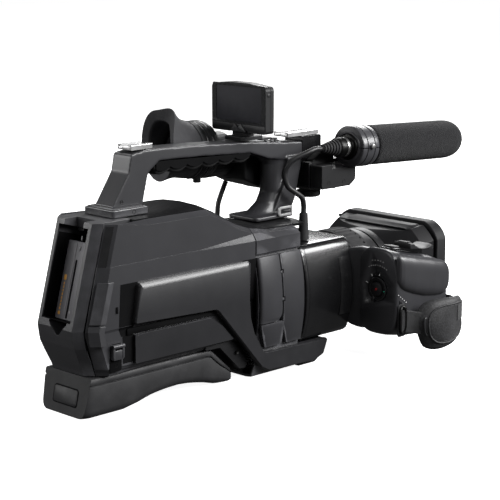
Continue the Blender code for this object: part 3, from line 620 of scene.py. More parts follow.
def smooth_loop(points, per_span=4):
    """A closed Catmull-Rom loop through points."""
    loop = []
    count = len(points)
    for k in range(count):
        a, b, c, d = (Vector(points[(k + j) % count]) for j in (-1, 0, 1, 2))
        for step in range(per_span):
            t = step / per_span
            loop.append(spline_point(a, b, c, d, t))
    return loop


def pipe(points, radius, closed=False, sides=8):
    """A thin round tube along a list of points."""
    points = [Vector(p) for p in points]
    count = len(points)
    rings = []
    for index, here in enumerate(points):
        if closed:
            run = points[(index + 1) % count] - points[index - 1]
        else:
            run = points[min(index + 1, count - 1)] - points[max(index - 1, 0)]
        run.normalize()
        side = run.cross(Vector((0.3, 0.2, 1))).normalized()
        over = side.cross(run)
        rings.append([here + (side * math.cos(math.tau * k / sides) + over * math.sin(math.tau * k / sides)) * radius
                      for k in range(sides)])
    return skin(rings, hollow=closed, capped=not closed)


def strap(name, path, width, thickness, finish, **more):
    """A flat strap along a path in the horizontal plane; its width stands up along Z."""
    path = smooth_route(path, 6)
    rings = []
    for index, here in enumerate(path):
        run = path[min(index + 1, len(path) - 1)] - path[max(index - 1, 0)]
        side = Vector((run.y, -run.x, 0)).normalized() * thickness / 2
        up = Vector((0, 0, width / 2))
        rings.append([here - side - up, here + side - up, here + side + up, here - side + up])
    obj = piece(name, skin(rings), finish, **more)
    return soften(obj, 0.4, 2, 40)


def bake(obj):
    """Replaces a piece's mesh with what its modifiers make of it."""
    bpy.context.view_layer.update()
    mesh = bpy.data.meshes.new_from_object(obj.evaluated_get(bpy.context.evaluated_depsgraph_get()))
    obj.modifiers.clear()
    obj.data = mesh


def hollow_out(obj, cutter):
    """Cuts one piece out of another for good and removes the cutter."""
    boolean = obj.modifiers.new("hollow", "BOOLEAN")
    boolean.operation = "DIFFERENCE"
    boolean.solver = "EXACT"
    boolean.object = cutter
    bake(obj)
    bpy.data.objects.remove(cutter, do_unlink=True)


def sculpted(node, name, voxel, rounds, finish, keep):
    """A finely rounded copy of a CAD node: remeshed in small cells, relaxed, then thinned."""
    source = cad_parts[node]
    bpy.context.view_layer.update()
    mesh = bpy.data.meshes.new_from_object(source.evaluated_get(bpy.context.evaluated_depsgraph_get()))
    obj = bpy.data.objects.new(name, mesh)
    bpy.context.scene.collection.objects.link(obj)
    remesh = obj.modifiers.new("cells", "REMESH")
    remesh.mode = "VOXEL"
    remesh.voxel_size = voxel * MM
    relax = obj.modifiers.new("relax", "SMOOTH")
    relax.factor = 0.5
    relax.iterations = rounds
    thin = obj.modifiers.new("thin", "DECIMATE")
    thin.ratio = keep
    bake(obj)
    dress(obj, finish, BODY, (node,), 60)


def roughen(obj, size, depth):
    """Breaks up a smooth surface with fine seeded clouds, in millimetres."""
    texture = bpy.data.textures.new(f"{obj.name}_clouds", "CLOUDS")
    texture.noise_scale = size * 4 * MM
    subsurf = obj.modifiers.new("smooth", "SUBSURF")
    subsurf.levels = subsurf.render_levels = 1
    displace = obj.modifiers.new("clouds", "DISPLACE")
    displace.texture = texture
    displace.texture_coords = "LOCAL"
    displace.strength = depth * MM
    displace.mid_level = 0.7


def touch(node, place, direction=(0, -1, 0)):
    """Where a line from a place first meets a CAD node, in design millimetres."""
    hit, point, _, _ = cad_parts[node].ray_cast(at(*place), Vector(direction))
    return TO_FRAME.inverted() @ point if hit else Vector(place)


def patch(name, node, foot, head, finish, proud=0.15, steps=14):
    """A thin skin over a CAD node's right side, between a foot and a head given as (height, left, right)."""
    bm = bmesh.new()
    grid = []
    for j in range(steps + 1):
        z, left, right = (low + (high - low) * j / steps for low, high in zip(foot, head))
        across = [left + (right - left) * k / steps for k in range(steps + 1)]
        grid.append([bm.verts.new((x, touch(node, (x, -90, z), (0, 1, 0)).y - proud, z)) for x in across])
    for lower, upper in zip(grid, grid[1:]):
        for k in range(steps):
            bm.faces.new((lower[k], lower[k + 1], upper[k + 1], upper[k]))
    return piece(name, bm, finish, slot=node)


def screw(name, place, facing, radius, finish, slot, body=BODY):
    """A countersunk cross-head screw, its head just under the surface at a place."""
    place, facing = Vector(place), Vector(facing).normalized()
    profile = [(0, -0.25), (radius * 0.62, -0.3), (radius * 0.8, -0.1), (radius * 0.84, 0.12), (radius, 0.16),
               (radius, -0.5), (0, -0.5)]
    head = lathe(profile, place, facing, 28)
    turn = facing.to_track_quat("Z", "Y").to_matrix().to_4x4()
    for angle in (0, math.pi / 2):
        bar = cuboid((-radius * 0.42, -radius * 0.09, -0.3), (radius * 0.42, radius * 0.09, -0.12))
        bar.transform(Matrix.Translation(place) @ turn @ Matrix.Rotation(angle + 0.4, 4, "Z"))
        head = joined([head, bar])
    piece(name, head, finish, body=body, slot=slot)


# ---------------------------------------------------------------- cords

MIC_POINT = (345, -36, 208.8)        # a point on the microphone's axis
MIC_PITCH = math.radians(2.5)


def mic_frame(along_axis, across=0.0, up=0.0):
    """A point given along, across and above the microphone's axis."""
    c, s = math.cos(MIC_PITCH), math.sin(MIC_PITCH)
    return (MIC_POINT[0] + along_axis * c + up * s, MIC_POINT[1] + across,
            MIC_POINT[2] - along_axis * s + up * c)


VIEWFINDER_ROUTE = [(240, 48.6, 175), (235, 48.6, 166), (229.4, 48.5, 154), (228, 48.3, 144),
                    (227.5, 48.2, 134)]
MICROPHONE_ROUTE = [mic_frame(-58.4), mic_frame(-66), (270, -34.5, 209), (256, -27, 202), (250, -22.5, 190),
                    (254, -22.8, 177), (262, -25.5, 170), (270, -27, 164), (272.5, -27, 156),
                    (272.5, -27, 148.6)]


def cord(name, route, diameter):
    points = [at(*p) for p in smooth_route(route)]
    curve = bpy.data.curves.new(name, "CURVE")
    curve.dimensions = "3D"
    curve.bevel_depth = diameter / 2 * MM
    curve.bevel_resolution = 5
    curve.use_fill_caps = True
    spline = curve.splines.new("POLY")
    spline.points.add(len(points) - 1)
    for point, place in zip(spline.points, points):
        point.co = (*place, 1)
    spline.use_smooth = True
    obj = bpy.data.objects.new(f"{name}_sheath", curve)
    bpy.context.scene.collection.objects.link(obj)
    dress(obj, "sheath", replaces=(name,))


# ---------------------------------------------------------------- carried-over CAD nodes

NODE_LOOKS = {
    # name: (finish, edge rounding in millimetres)
    "rear_frame": ("frame", 0.5), "right_side_shell": ("case", 0.4), "left_side_shell": ("case", 0.4),
    "top_deck": ("case_dark", 0.4), "jack_housing": ("case", 0.4), "lens_housing": ("case", 0.4),
    "shoulder_pad": ("pad_rubber", 1.2), "side_panel": ("panel", 0.3), "bottom_tray": ("case_dark", 0.4),
    "front_keel": ("hood", 0.8), "battery": ("battery", 0.8), "battery_terminal": ("gold", 0.2),
    "battery_release": ("key", 0.5), "av_jack_cover": ("panel", 0.3), "digital_jack_cover": ("case", 0.4),
    "dc_in_cover": ("frame", 0.2), "phones_cover": ("frame", 0.2), "card_door": ("case", 0.5),
    "control_dial": ("key", 0.6), "handle": ("handle", 0.4), "handle_grip": ("grip_rubber", 0.6),
    "handle_rear_foot": ("case", 0.6), "rear_shoe": ("chrome", 0.3), "front_shoe": ("chrome", 0.3),
    "handle_zoom_rocker": ("key", 0.8), "handle_record_button": ("key", 0.5), "strap_ring": ("chrome", 0.4),
    "monitor_hinge": ("case_dark", 0.6), "monitor_case": ("case_dark", 0.4), "viewfinder_base": ("case", 0.4),
    "viewfinder_barrel": ("case_dark", 0.3), "dioptre_lever": ("key", 0.5), "eyecup": ("rubber", 0.3),
    "xlr_box": ("case_gloss", 0.4), "level_knob": ("key", 0.4), "mic_bracket": ("case_dark", 0.3),
    "mic_clamp_base": ("metal", 0.3), "mic_clamp_lid": ("metal", 0.3), "microphone_tube": ("dark_metal", 0.3),
    "microphone_foam": ("foam", 0), "xlr_plug": ("metal", 0.2), "microphone_cable_boot": ("rubber", 0.3),
    "lens_barrel": ("case_dark", 0.3), "zoom_ring": ("rubber", 0.4), "front_lens": ("lens", 0),
    "sensor_block": ("dark_metal", 0.4), "main_board": ("board", 0.2), "hood": ("case_dark", 0.3),
    "upper_shutter": ("recess_shade", 0.2), "lower_shutter": ("recess_shade", 0.2), "shutter_lever": ("key", 0.6),
    "grip_casing": ("case", 0.4), "palm_cover": ("palm", 0.4), "power_ring": ("key", 0.4),
    "record_button": ("key", 0.8), "photo_button": ("key", 0.8), "zoom_rocker": ("key", 0.5),
    "belt_pad": ("leather", 0.5),
}


def carried_nodes():
    for name, (finish, edge) in NODE_LOOKS.items():
        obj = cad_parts[name]
        for slot in obj.material_slots:
            slot.material = FINISHES[finish]
        if not obj.material_slots:
            obj.data.materials.append(FINISHES[finish])
        weld = obj.modifiers.new("weld", "WELD")
        weld.merge_threshold = 0.000002
        if edge:
            soften(obj, edge)
        flow = obj.modifiers.new("normals", "WEIGHTED_NORMAL")
        flow.keep_sharp = True


# ---------------------------------------------------------------- lens hood, barrel and rings

LENS_Y, LENS_Z = -5, 72
AHEAD = (1, 0, 0)
LENS_AXIS = ((0, LENS_Y, LENS_Z), AHEAD)


def cornered_ring(x, half_width, half_height, corner, round_share, steps=8):
    """A section across the lens axis: a rectangle whose corners run from straight cuts (0) to arcs (1)."""
    ring = []
    for quarter in range(4):
        sy = (1, -1, -1, 1)[quarter]
        sz = (1, 1, -1, -1)[quarter]
        for k in range(steps + 1):
            share = 1 - k / steps if quarter % 2 else k / steps
            angle = math.pi / 2 * share
            arc = Vector((math.cos(angle), math.sin(angle)))
            flat = Vector((1 - share, share))
            bend = flat.lerp(arc, round_share)
            ring.append((x, LENS_Y + sy * (half_width - corner + corner * bend.x),
                         LENS_Z + sz * (half_height - corner + corner * bend.y)))
    return ring


def hood():
    wide = (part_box("hood")[1].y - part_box("hood")[0].y) / MM / 2
    tall = (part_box("hood")[1].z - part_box("hood")[0].z) / MM / 2
    rows = [(386.3, 42.4, 42.4, 42.3, 1), (389, 44.5, 43, 40, 1), (394, 51, 43.6, 26, 0.7),
            (399, 58.5, 44.2, 18, 0.25), (403.4, wide - 6.4, tall - 7.4, 15, 0.1),
            (404.6, wide - 5.2, tall - 6.2, 15, 0.1), (420.6, wide - 3, tall - 3.6, 14, 0.2),
            (421, wide - 3.6, tall - 4.2, 14, 0.2), (421, wide - 6, tall - 6.6, 13, 0.3),
            (422.8, wide - 6, tall - 6.6, 13, 0.3), (422.8, wide - 0.7, tall - 0.7, 18, 0.55),
            (423.6, wide, tall, 18, 0.55), (436.4, wide, tall, 18, 0.55),
            (437.5, wide - 0.5, tall - 0.5, 17, 0.6),
            (438, wide - 1.6, tall - 1.6, 16, 0.7), (438, 50.5, 31, 4, 1), (434.9, 48.5, 29.4, 4, 1),
            (434.7, 57, 40, 10, 1), (408, 57, 40, 10, 1), (395, 40, 38, 34, 1), (386.3, 40, 40, 39.9, 1)]
    shell = piece("hood_shell", skin([cornered_ring(*row) for row in rows], hollow=True), "hood",
                  slot="hood", replaces=("hood",), angle=24)
    soften(shell, 0.45, 2, 24)
    saddle = [(401.5, 47.2, 0), (404, 48.5, 0.6), (409, 51.4, 2.6), (419.6, 52.0, 2.8), (420.4, 50.4, 1)]
    rings = []
    for x, half, rise in saddle:
        foot = tall - 5.6
        rings.append([(x, LENS_Y - half, LENS_Z + foot - 1), (x, LENS_Y - half + 5, LENS_Z + foot + rise),
                      (x, LENS_Y + half - 16, LENS_Z + foot + rise),
                      (x, LENS_Y + half - 8, LENS_Z + foot - 1)])
    soften(piece("hood_saddle", skin(rings), "hood", slot="hood"), 0.5)
    for side, end in ((1, "top"), (-1, "bottom")):
        z = LENS_Z + side * (tall - 9.5)
        piece(f"hood_latch_{end}",
              plate(rectangle(426.6, z - 1.2, 433, z + 1.2, 0.8), "y", LENS_Y + wide - 1,
                    LENS_Y + wide + 0.35),
              "key", slot="hood")
    piece("hood_release", rod((414, LENS_Y, LENS_Z - tall + 5.4), (414, LENS_Y, LENS_Z - tall + 2.6), 4.4),
          "key",
          slot="hood")


def barrel():
    profile = [(41.4, 290), (41.4, 321), (43.6, 321.6), (44.4, 322.6), (44.5, 329.6), (43.2, 330),
               (43.2, 358.6),
               (44.5, 359), (44.5, 371.6), (43.8, 372.6), (42.5, 373), (42.5, 374.8), (43.8, 375.2),
               (44, 376),
               (44, 384.8), (43.2, 385.8), (42, 386), (38.6, 386), (38.6, 381), (39.6, 380.6), (39.6, 374),
               (38.4, 373.6), (38.4, 290)]
    piece("barrel_shell", lathe(profile, *LENS_AXIS, 96, closed=True), "case_dark",
          slot="lens_barrel", replaces=("lens_barrel",), angle=28)
    threads = [(39.6 - (0.7 if k % 2 else 0), 374.4 + k * 0.55) for k in range(12)]
    piece("filter_thread", lathe(threads, *LENS_AXIS, 72), "dark_metal", slot="lens_barrel")
    retainer = [(33.6, 372.8), (38.2, 372.8), (38.2, 371.4), (36, 368), (34.4, 364), (33.4, 364)]
    piece("lens_retainer", lathe(retainer, *LENS_AXIS, 72, closed=True), "case_gloss",
          slot="lens_barrel")


def zoom_ring():
    """The ribbed zoom ring, with a plain collar at each rim."""
    ribs, outer, root = 44, 48.4, 46.6
    rows = []
    for x, plain in ((330.7, True), (331.2, True), (333.6, True), (333.8, False), (354.6, False),
                     (354.8, True),
                     (357.2, True), (357.7, True)):
        ring = []
        for k in range(ribs * 6):
            raised = k % 6 in (0, 1, 2, 3)
            radius = (47.4 if x in (330.7, 357.7) else 48.0) if plain else (outer if raised else root)
            angle = math.tau * (k + (0.35 if k % 6 == 4 else -0.35 if k % 6 == 3 else 0)) / (ribs * 6)
            ring.append((x, LENS_Y + radius * math.cos(angle), LENS_Z + radius * math.sin(angle)))
        rows.append(ring)
    for x in (357.7, 330.7):
        rows.append([(x, LENS_Y + 45 * math.cos(math.tau * k / (ribs * 6)),
                      LENS_Z + 45 * math.sin(math.tau * k / (ribs * 6))) for k in range(ribs * 6)])
    piece("zoom_ring_ribbed", skin(rows, hollow=True), "rubber", body="zoom_ring", slot="zoom_ring",
          replaces=("zoom_ring",), angle=30)


# ---------------------------------------------------------------- side panel and housings

def bulge(z):
    """Half width of the jack housing's right side, which swells around the lens's height."""
    return 47.2 - 5.7 * ((z - LENS_Z) / 45) ** 2


def inset_outline(points, amount):
    """Moves each point of a closed outline inwards along its normal by amount(normal, point)."""
    area = sum(a.x * b.y - b.x * a.y for a, b in zip(points, points[1:] + points[:1]))
    turn = 1 if area > 0 else -1
    moved = []
    for index, here in enumerate(points):
        run = (points[(index + 1) % len(points)] - points[index - 1]).normalized()
        normal = Vector((run.y, -run.x)) * turn
        moved.append(here - normal * amount(normal, here))
    return moved


def panel_piece(name, corners, levels, finish, slot, reach, **more):
    """A raised panel on the right side: levels are (y, inset) from its seat out; reach scales the inset."""
    outline = rounded(corners, 6)
    rings = []
    for y, inset in levels:
        rings.append([(u, y, v) for u, v in inset_outline(outline, lambda *where: inset * reach(*where))])
    return piece(name, skin(rings), finish, slot=slot, **more)


def side_panel():
    outline = [(43.4, 117, 3), (181.5, 117, 4), (180.6, 100, 0), (179.9, 82, 0), (181.4, 62, 0), (186, 47, 4),
               (195.5, 31, 4), (200, 25.4, 2), (289.6, 23.4, 2), (283, 8, 3), (270, 3, 3), (204, 6, 4),
               (195, 11, 4),
               (137, 77, 9), (37, 81, 2)]
    levels = [(-41, 0), (-44.2, 0), (-45.3, 0.35), (-46.1, 0.75), (-46.5, 1.2)]
    panel_piece("side_panel_moulding", outline, levels, "panel", "side_panel",
                reach=lambda n, point: 4.6 if n.y > 0.8 and point.y > 90 else 1.0, replaces=("side_panel",),
                angle=40)
    # A thin black plate on the shell between the panel's front and the jack cover: painted shade of the recess
    # there.
    recess_shade = []
    for z in (44.6, 60, 76.8, 79.6, 100, 118):
        y = 39.2 if z < 77 else 41.3 + 3 * max(0, z - 79.5) / 38.5
        recess_shade.append([(173, -y + 0.5, z), (189.5, -y + 0.5, z), (189.5, -y, z), (173, -y, z)])
    piece("panel_recess_shade", skin(recess_shade), "recess_shade", slot="side_panel")
    for index, side in enumerate((-1, 1)):
        knee = [(130, 43.6, 1), (165, 43.6, 1), (186, 22, 2), (183, 11, 3), (174.6, 12, 2), (148, 38, 1),
                (130, 38.2, 1)]
        low, high = sorted((side * 27.2, side * (37.0 if side < 0 else 39.1)))
        piece(f"knee_plate_{index}", plate(knee, "y", low, high, 0.8), "case_dark", slot="bottom_tray")
        screw(f"knee_screw_{index}", (170, side * 39.2, 30), (0, side, 0), 2.1, "dark_metal", "bottom_tray")


def bulged(name, rear, front, heights, low, high, finish, slot, corner=None, **more):
    """A cover that follows the jack housing's bulge, from depth low to high; corner trims its lower front."""
    rings = []
    for z in heights:
        back = rear + max(0, 50 - z) * 0.42
        ahead = front
        if corner and z < heights[0] + corner:
            drop = heights[0] + corner - z
            ahead = front - corner + math.sqrt(max(0, corner ** 2 - drop ** 2))
        near, far = bulge(z) + low, bulge(z) + high
        edge = 0.5
        rings.append([(back, -near, z), (ahead, -near, z), (ahead, -far + edge, z),
                      (ahead - edge * 0.3, -far + edge * 0.3, z), (ahead - edge, -far, z),
                      (back + 3.4, -far, z),
                      (back + 1.4, -far + 0.5, z), (back + 0.4, -far + 1.4, z), (back, -far + 2.6, z)])
    return piece(name, skin(rings), finish, slot=slot, angle=40, **more)


def jack_side():
    lid = bulged("digital_cover_moulding", 190.6, 218.7, steps_between(54.2, 118, 32), 0.7, 4.0, "case",
                 "digital_jack_cover", corner=9, body="digital_cover", replaces=("digital_jack_cover",))
    soften(lid, 0.25, 2, 50)
    bulged("jack_panel", 219.4, 248.8, steps_between(29.6, 118.2, 40), 2.4, 4.15, "case", "jack_housing")
    bulged("jack_lower_panel", 190.6, 219.2, steps_between(29.6, 53.4, 14), 2.4, 4.15, "case", "jack_housing")
    for index, z in enumerate((101, 75)):
        y = bulge(z) + 4.05
        notch = cuboid((218.2, -y - 0.1, z - 2.4), (222, -y + 0.6, z + 2.4))
        piece(f"jack_hinge_notch_{index}", notch, "recess_shade", slot="jack_housing")
        tab = cuboid((217.6, -y - 0.15, z - 1.3), (220.6, -y + 0.4, z + 1.3))
        soften(piece(f"jack_hinge_tab_{index}", tab, "case", body="digital_cover",
                     slot="digital_jack_cover"), 0.2)
    for index, z in enumerate((104, 88, 70)):
        y = bulge(z) + 0.3
        socket = plate(rectangle(198, z - 4.5, 213, z + 4.5, 1.2), "y", -y + 0.6, -y - 0.3, 0.2)
        piece(f"digital_socket_{index}", socket, "dark_metal", slot="jack_housing")


def bulkhead():
    """Closes the front of the jack housing round the lens housing."""
    rings = []
    top = touch("jack_housing", (247, 20, 200), (0, 0, -1)).z - 0.8
    bottom = touch("jack_housing", (247, 20, -50), (0, 0, 1)).z + 0.8
    for z in steps_between(bottom, top, 30):
        left = touch("jack_housing", (247, 90, z)).y - 0.6
        rings.append([(246, -bulge(z) + 0.8, z), (249.6, -bulge(z) + 0.8, z), (249.6, left, z),
                      (246, left, z)])
    piece("front_bulkhead", skin(rings), "case_dark", slot="jack_housing")


def lens_half(z):
    """Half width of the lens housing's side at a height."""
    table = [(24, 25), (25.4, 35), (30, 39.5), (36, 42.2), (48, 45.2), (60, 46.7), (72, 47.1), (84, 46.6),
             (97, 44),
             (106, 41.8), (114, 39.6), (119.6, 35), (121, 29)]
    return along(table, z)


LENS_OUTLINE = [(29, 49), (35, 47.8), (38.6, 44.6), (41, 38), (44, 25), (46.2, 12), (47, 0), (46.4, -12),
                (44.5, -24),
                (41.6, -35), (38.6, -43), (34, -46.8), (25, -48)]


def lens_ring(x, proud=0.0):
    right = [(-dy, dz) for dy, dz in LENS_OUTLINE]
    left = [(dy, dz) for dy, dz in reversed(LENS_OUTLINE)]
    loop = smooth_loop([Vector((y, z)) for y, z in right + left])
    return [(x, LENS_Y + p.x + p.normalized().x * proud,
             LENS_Z + p.y + p.normalized().y * proud) for p in loop]


def lens_housing():
    rows = [(250.3, -2.6), (250.3, -1.2), (250.8, -0.3), (252.4, 0.5), (254.4, 0.5), (254.8, -0.1),
            (256, -0.25),
            (256.2, 0), (285, 0), (317.4, 0), (319.2, -0.4), (320, -1.4), (320, -5), (310, -5.6), (256, -5)]
    piece("lens_housing_moulding", skin([lens_ring(*row) for row in rows], hollow=True), "case_gloss",
          slot="lens_housing", replaces=("lens_housing",), angle=26)
    rings = []
    for z in steps_between(45, 103, 24):
        y = LENS_Y - lens_half(z)
        rings.append([(301, y + 0.8, z), (317.2, y + 0.8, z), (317.2, y - 0.25, z), (316.8, y - 0.6, z),
                      (301.5, y - 0.6, z), (301, y - 0.25, z)])
    piece("lens_side_cover", skin(rings), "case_gloss", slot="lens_housing", angle=40)
    strip = []
    for z in steps_between(33, 118, 36):
        y = LENS_Y - lens_half(z)
        wide = 3.2 if z > 104 else 3.2 - 1.8 * min(1, (104 - z) / 4)
        strip.append([(250.5, y + 1, z), (250.9 + wide, y + 1, z), (250.9 + wide, y - 0.5, z),
                      (250.5 + wide * 0.6, y - 1.1, z), (250.5, y - 0.6, z)])
    piece("lens_rear_strip", skin(strip), "case_gloss", slot="lens_housing", angle=40)


# ---------------------------------------------------------------- handle


def handle():
    sculpted("handle", "handle_moulding", 1.0, 3, "handle", keep=0.35)
    sculpted("viewfinder_base", "viewfinder_base_moulding", 1.3, 8, "case_dark", keep=0.3)
    finger_grip()
    soften(piece("handle_grip_rim", grip_rim(), "recess_shade", slot="handle"), 0.3)
    handle_top()


def grip_profile(x):
    """Height of the finger grip's underside, five lobes between the handle's two posts."""
    lobes = 3.4 * abs(math.sin(math.pi * (x - 91) / 20.5)) ** 0.7
    return 206.6 - lobes if 91 < x < 214.5 else 206.6


def finger_grip():
    rings = []
    for k in range(101):
        x = 90 + 1.28 * k
        low = grip_profile(x)
        top = 214.6 - max(0, x - 100) * 0.034
        end = min(1, (x - 90) / 5 + 0.1, (218 - x) / 5 + 0.1)
        low = top - (top - low) * end
        ring = []
        for y, z in ((10.4, top), (10.6, low + 3.4), (10.2, low + 1.4), (8.6, low + 0.3), (5, low - 0.2),
                     (0, low - 0.4)):
            ring.append((x, y, z))
        ring += [(x, -y, z) for _, y, z in reversed(ring[:-1])]
        rings.append(ring)
    piece("finger_grip", skin(rings), "grip_rubber", slot="handle_grip", replaces=("handle_grip",), angle=50)


def grip_rim():
    """The handle's lower edge beside the grip, cut in the same lobes on both sides."""
    parts = []
    for side in (-1, 1):
        rings = []
        for k in range(89):
            x = 94 + 1.36 * k
            low = grip_profile(x) + 3.2
            top = 216 - max(0, x - 100) * 0.034
            inner, outer = side * 10.9, side * 12.1
            rings.append([(x, inner, top), (x, outer, top), (x, outer, low + 0.4), (x, side * 11.7, low),
                          (x, inner, low)])
        parts.append(skin(rings))
    return joined(parts)


def handle_top():
    for index, x in enumerate((237, 244, 251)):
        key = plate(rectangle(x, -10, x + 5, -6.6, 1), "z", 0, 1.1, 0.4)
        key.transform(Matrix.Translation((0, 0, 220.6 - 0.5 * index)))
        piece(f"handle_key_{index}", key, "key", slot="handle")
    screw("handle_side_screw", (52, -12.7, 184.2), (0, -1, 0), 1.8, "dark_metal", "handle")
    foot = plate(rectangle(37.4, -18.6, 75.8, 18.6, 2), "z", 178.9, 179.8, 0.8)
    piece("foot_ledge", foot, "case", slot="handle_rear_foot")
    for name, x_from, x_to, height in (("rear_shoe", 67, 92, 228.4), ("front_shoe", 268, 312, 221.6)):
        spring = plate(rectangle(x_from + 3, -4.2, x_to - 3, 4.2, 1), "z", height + 1.7, height + 2.1, 0.2)
        piece(f"{name}_spring", spring, "chrome", slot=name)


# ---------------------------------------------------------------- hand grip

GRIP_REAR = 321


def super_ring(x, y_in, y_out, bottom, top, power, count=64):
    """A rounded section of the grip across X."""
    middle_y, middle_z = (y_in + y_out) / 2, (bottom + top) / 2
    half_y, half_z = (y_in - y_out) / 2, (top - bottom) / 2
    ring = []
    for k in range(count):
        c, s = math.cos(math.tau * k / count), math.sin(math.tau * k / count)
        ring.append((x, middle_y + half_y * signed_power(c, 2 / power),
                     middle_z + half_z * signed_power(s, 2 / power)))
    return ring


def grip():
    rows = [(321.1, -56.4, -104.6, 30.4, 111.4, 3.4), (321.7, -55.4, -105.8, 29.2, 112.6, 3.4),
            (323.2, -54.8, -106.8, 27.6, 113.8, 3.4), (326, -54.6, -107, 26.8, 113.6, 3.4),
            (350, -54.6, -107, 22, 107.6, 3.4), (375, -55, -107, 20, 102.4, 3.3),
            (388, -62, -106.6, 22, 99, 3.2),
            (396, -75, -105.6, 25, 95, 3), (403, -76, -103.4, 30, 90.6, 2.8),
            (407.4, -77.6, -100, 36, 85.4, 2.6),
            (409, -80.6, -96, 44, 79, 2.4)]
    casing = piece("grip_shell", skin([super_ring(*row) for row in rows]), "case", slot="grip_casing",
                   replaces=("grip_casing",), angle=40)
    cutter = piece("dial_well", rod((GRIP_REAR - 4, -82, 73.4), (GRIP_REAR + 2.8, -82, 73.4), 12.4, steps=48),
                   "recess_shade")
    hollow_out(casing, cutter)
    rings = []
    for y, x_rear, bottom, top in ((-26, 316.6, 40, 104), (-38, 316.8, 36, 107.4), (-45, 317.6, 33, 109.4),
                                   (-50, 319, 31, 110.8), (-55, 320.4, 30, 111.8), (-60, 321.2, 29.6, 112.4),
                                   (-66, 322, 30.4, 112)):
        outline = rounded([(x_rear, bottom, 3), (x_rear, top, 3), (329.4, top, 2), (329.4, bottom, 2)], 4)
        rings.append([(x, y, z) for x, z in outline])
    piece("grip_web", skin(rings), "case", slot="grip_casing", angle=50)


def palm_cover():
    """The palm rest: a smooth swelling cover with a rounded edge all round and an S-shaped lower edge."""
    tops = [(322, 107.6), (323, 109.4), (325, 110.4), (330, 110.2), (345, 107.2), (375, 100.2), (388, 96.8),
            (394, 94.6), (398.6, 91.2), (401.6, 86.6), (403, 80)]
    bottoms = [(322, 84), (323.4, 80.8), (326, 77.4), (330, 74.4), (338, 71), (346, 68.2), (362, 63.6),
               (380, 60.8),
               (390, 60.4), (396, 62), (400, 65.4), (402.2, 70), (403, 76)]
    depths = [(322, 0.4), (322.6, 2.4), (324, 3.8), (328, 5), (345, 6), (375, 5.4), (390, 4.2), (398, 2.6),
              (402, 1.2), (403, 0.3)]
    rings = []
    for k in range(91):
        x = 322 + 40.5 * (1 - math.cos(math.pi * k / 90))
        top, bottom, depth = along(tops, x), along(bottoms, x), along(depths, x)
        middle, half = (top + bottom) / 2, (top - bottom) / 2
        ring = []
        for j in range(25):
            share = j / 24 * 2 - 1
            swell = (1 - abs(share) ** 4) ** 0.7
            ring.append((x, -106.4 - depth * swell, middle - half * share))
        ring += [(x, -105, bottom + half * 0.1), (x, -105, top - half * 0.1)]
        rings.append(ring)
    piece("palm_rest", skin(rings), "palm", slot="palm_cover", replaces=("palm_cover",), angle=60)


def mode_dial():
    """The power ring with its grip bump, the record button, and their marks."""
    place = (GRIP_REAR, -82, 73.4)
    ring = [(11.7, 0.6), (11.9, 0), (11.7, 1.4), (11.0, 2.0), (8.4, 2.0), (7.9, 1.4), (7.9, -0.6)]
    piece("mode_ring_moulding", lathe([(r, -h + 0.2) for r, h in ring][::-1], place, AHEAD, 64), "case_gloss",
          body="mode_ring", slot="power_ring", angle=30)
    lip = plate(rectangle(-1.6, -13.4, 1.6, -8.4, 1.2), "x", -3.4, -0.8, 0.5)
    lip.transform(Matrix.Translation(place) @ Matrix.Rotation(math.radians(20), 4, "X"))
    piece("mode_ring_tab", lip, "key", body="mode_ring", slot="power_ring")
    cap = [(0, 2.5), (4.6, 2.3), (6.4, 1.7), (7, 0.8), (7, -0.6)]
    piece("record_button_cap", lathe([(r, -h) for r, h in cap][::-1], place, AHEAD, 48), "key",
          body="record_button", slot="record_button")
    for name, finish, (dy, dz), radius, body, slot, proud in (
            ("record_dot", "red", (0, 0), 1.1, "record_button", "record_button", 2.55),
            ("mode_dot", "green", (-9.8, -1.2), 0.8, "mode_ring", "power_ring", 2.1)):
        spot = rod((GRIP_REAR - proud + 0.3, -82 + dy, 73.4 + dz), (GRIP_REAR - proud, -82 + dy, 73.4 + dz),
                   radius,
                   steps=20, round_edge=0.1)
        piece(name, spot, finish, body=body, slot=slot)
    ticks = []
    for angle in (100, 60, 20):
        tick = plate(rectangle(-0.35, 13.4, 0.35, 15.8, 0.2), "x", -0.3, 0.1, 0.05)
        tick.transform(Matrix.Translation(place) @ Matrix.Rotation(math.radians(angle - 90), 4, "X"))
        ticks.append(tick)
    piece("mode_ticks", joined(ticks), "white", slot="grip_casing")
    for row, (radius, count) in enumerate(((23, 9), (28, 5))):
        marks = []
        for k in range(count):
            dash = plate(rectangle(-0.9, radius, 0.9, radius + 1.1, 0.2), "x", -0.12, 0.1, 0.03)
            turn = math.radians(((count - 1) / 2 - k) * 7)
            dash.transform(Matrix.Translation(place) @ Matrix.Rotation(turn, 4, "X"))
            marks.append(dash)
        piece(f"mode_marks_{row}", joined(marks), "print_grey", slot="grip_casing")
    dots = [rod((323.4 + 2.9 * k, -106.6, 70.4 - 2.2 * k), (323.4 + 2.9 * k, -107.4, 70.4 - 2.2 * k), 0.5,
                steps=12)
            for k in range(5)]
    piece("grip_dots", joined(dots), "white", slot="grip_casing")
    ridges = [plate(rectangle(-0.4, -4, 0.4, 0, 0.3), "y", -107.5, -106.6, 0.15) for k in range(6)]
    for k, ridge in enumerate(ridges):
        ridge.transform(Matrix.Translation((325.4 + 2.1 * k, 0, 65 - 1.7 * k)))
    piece("grip_ridges", joined(ridges), "case_gloss", slot="grip_casing")


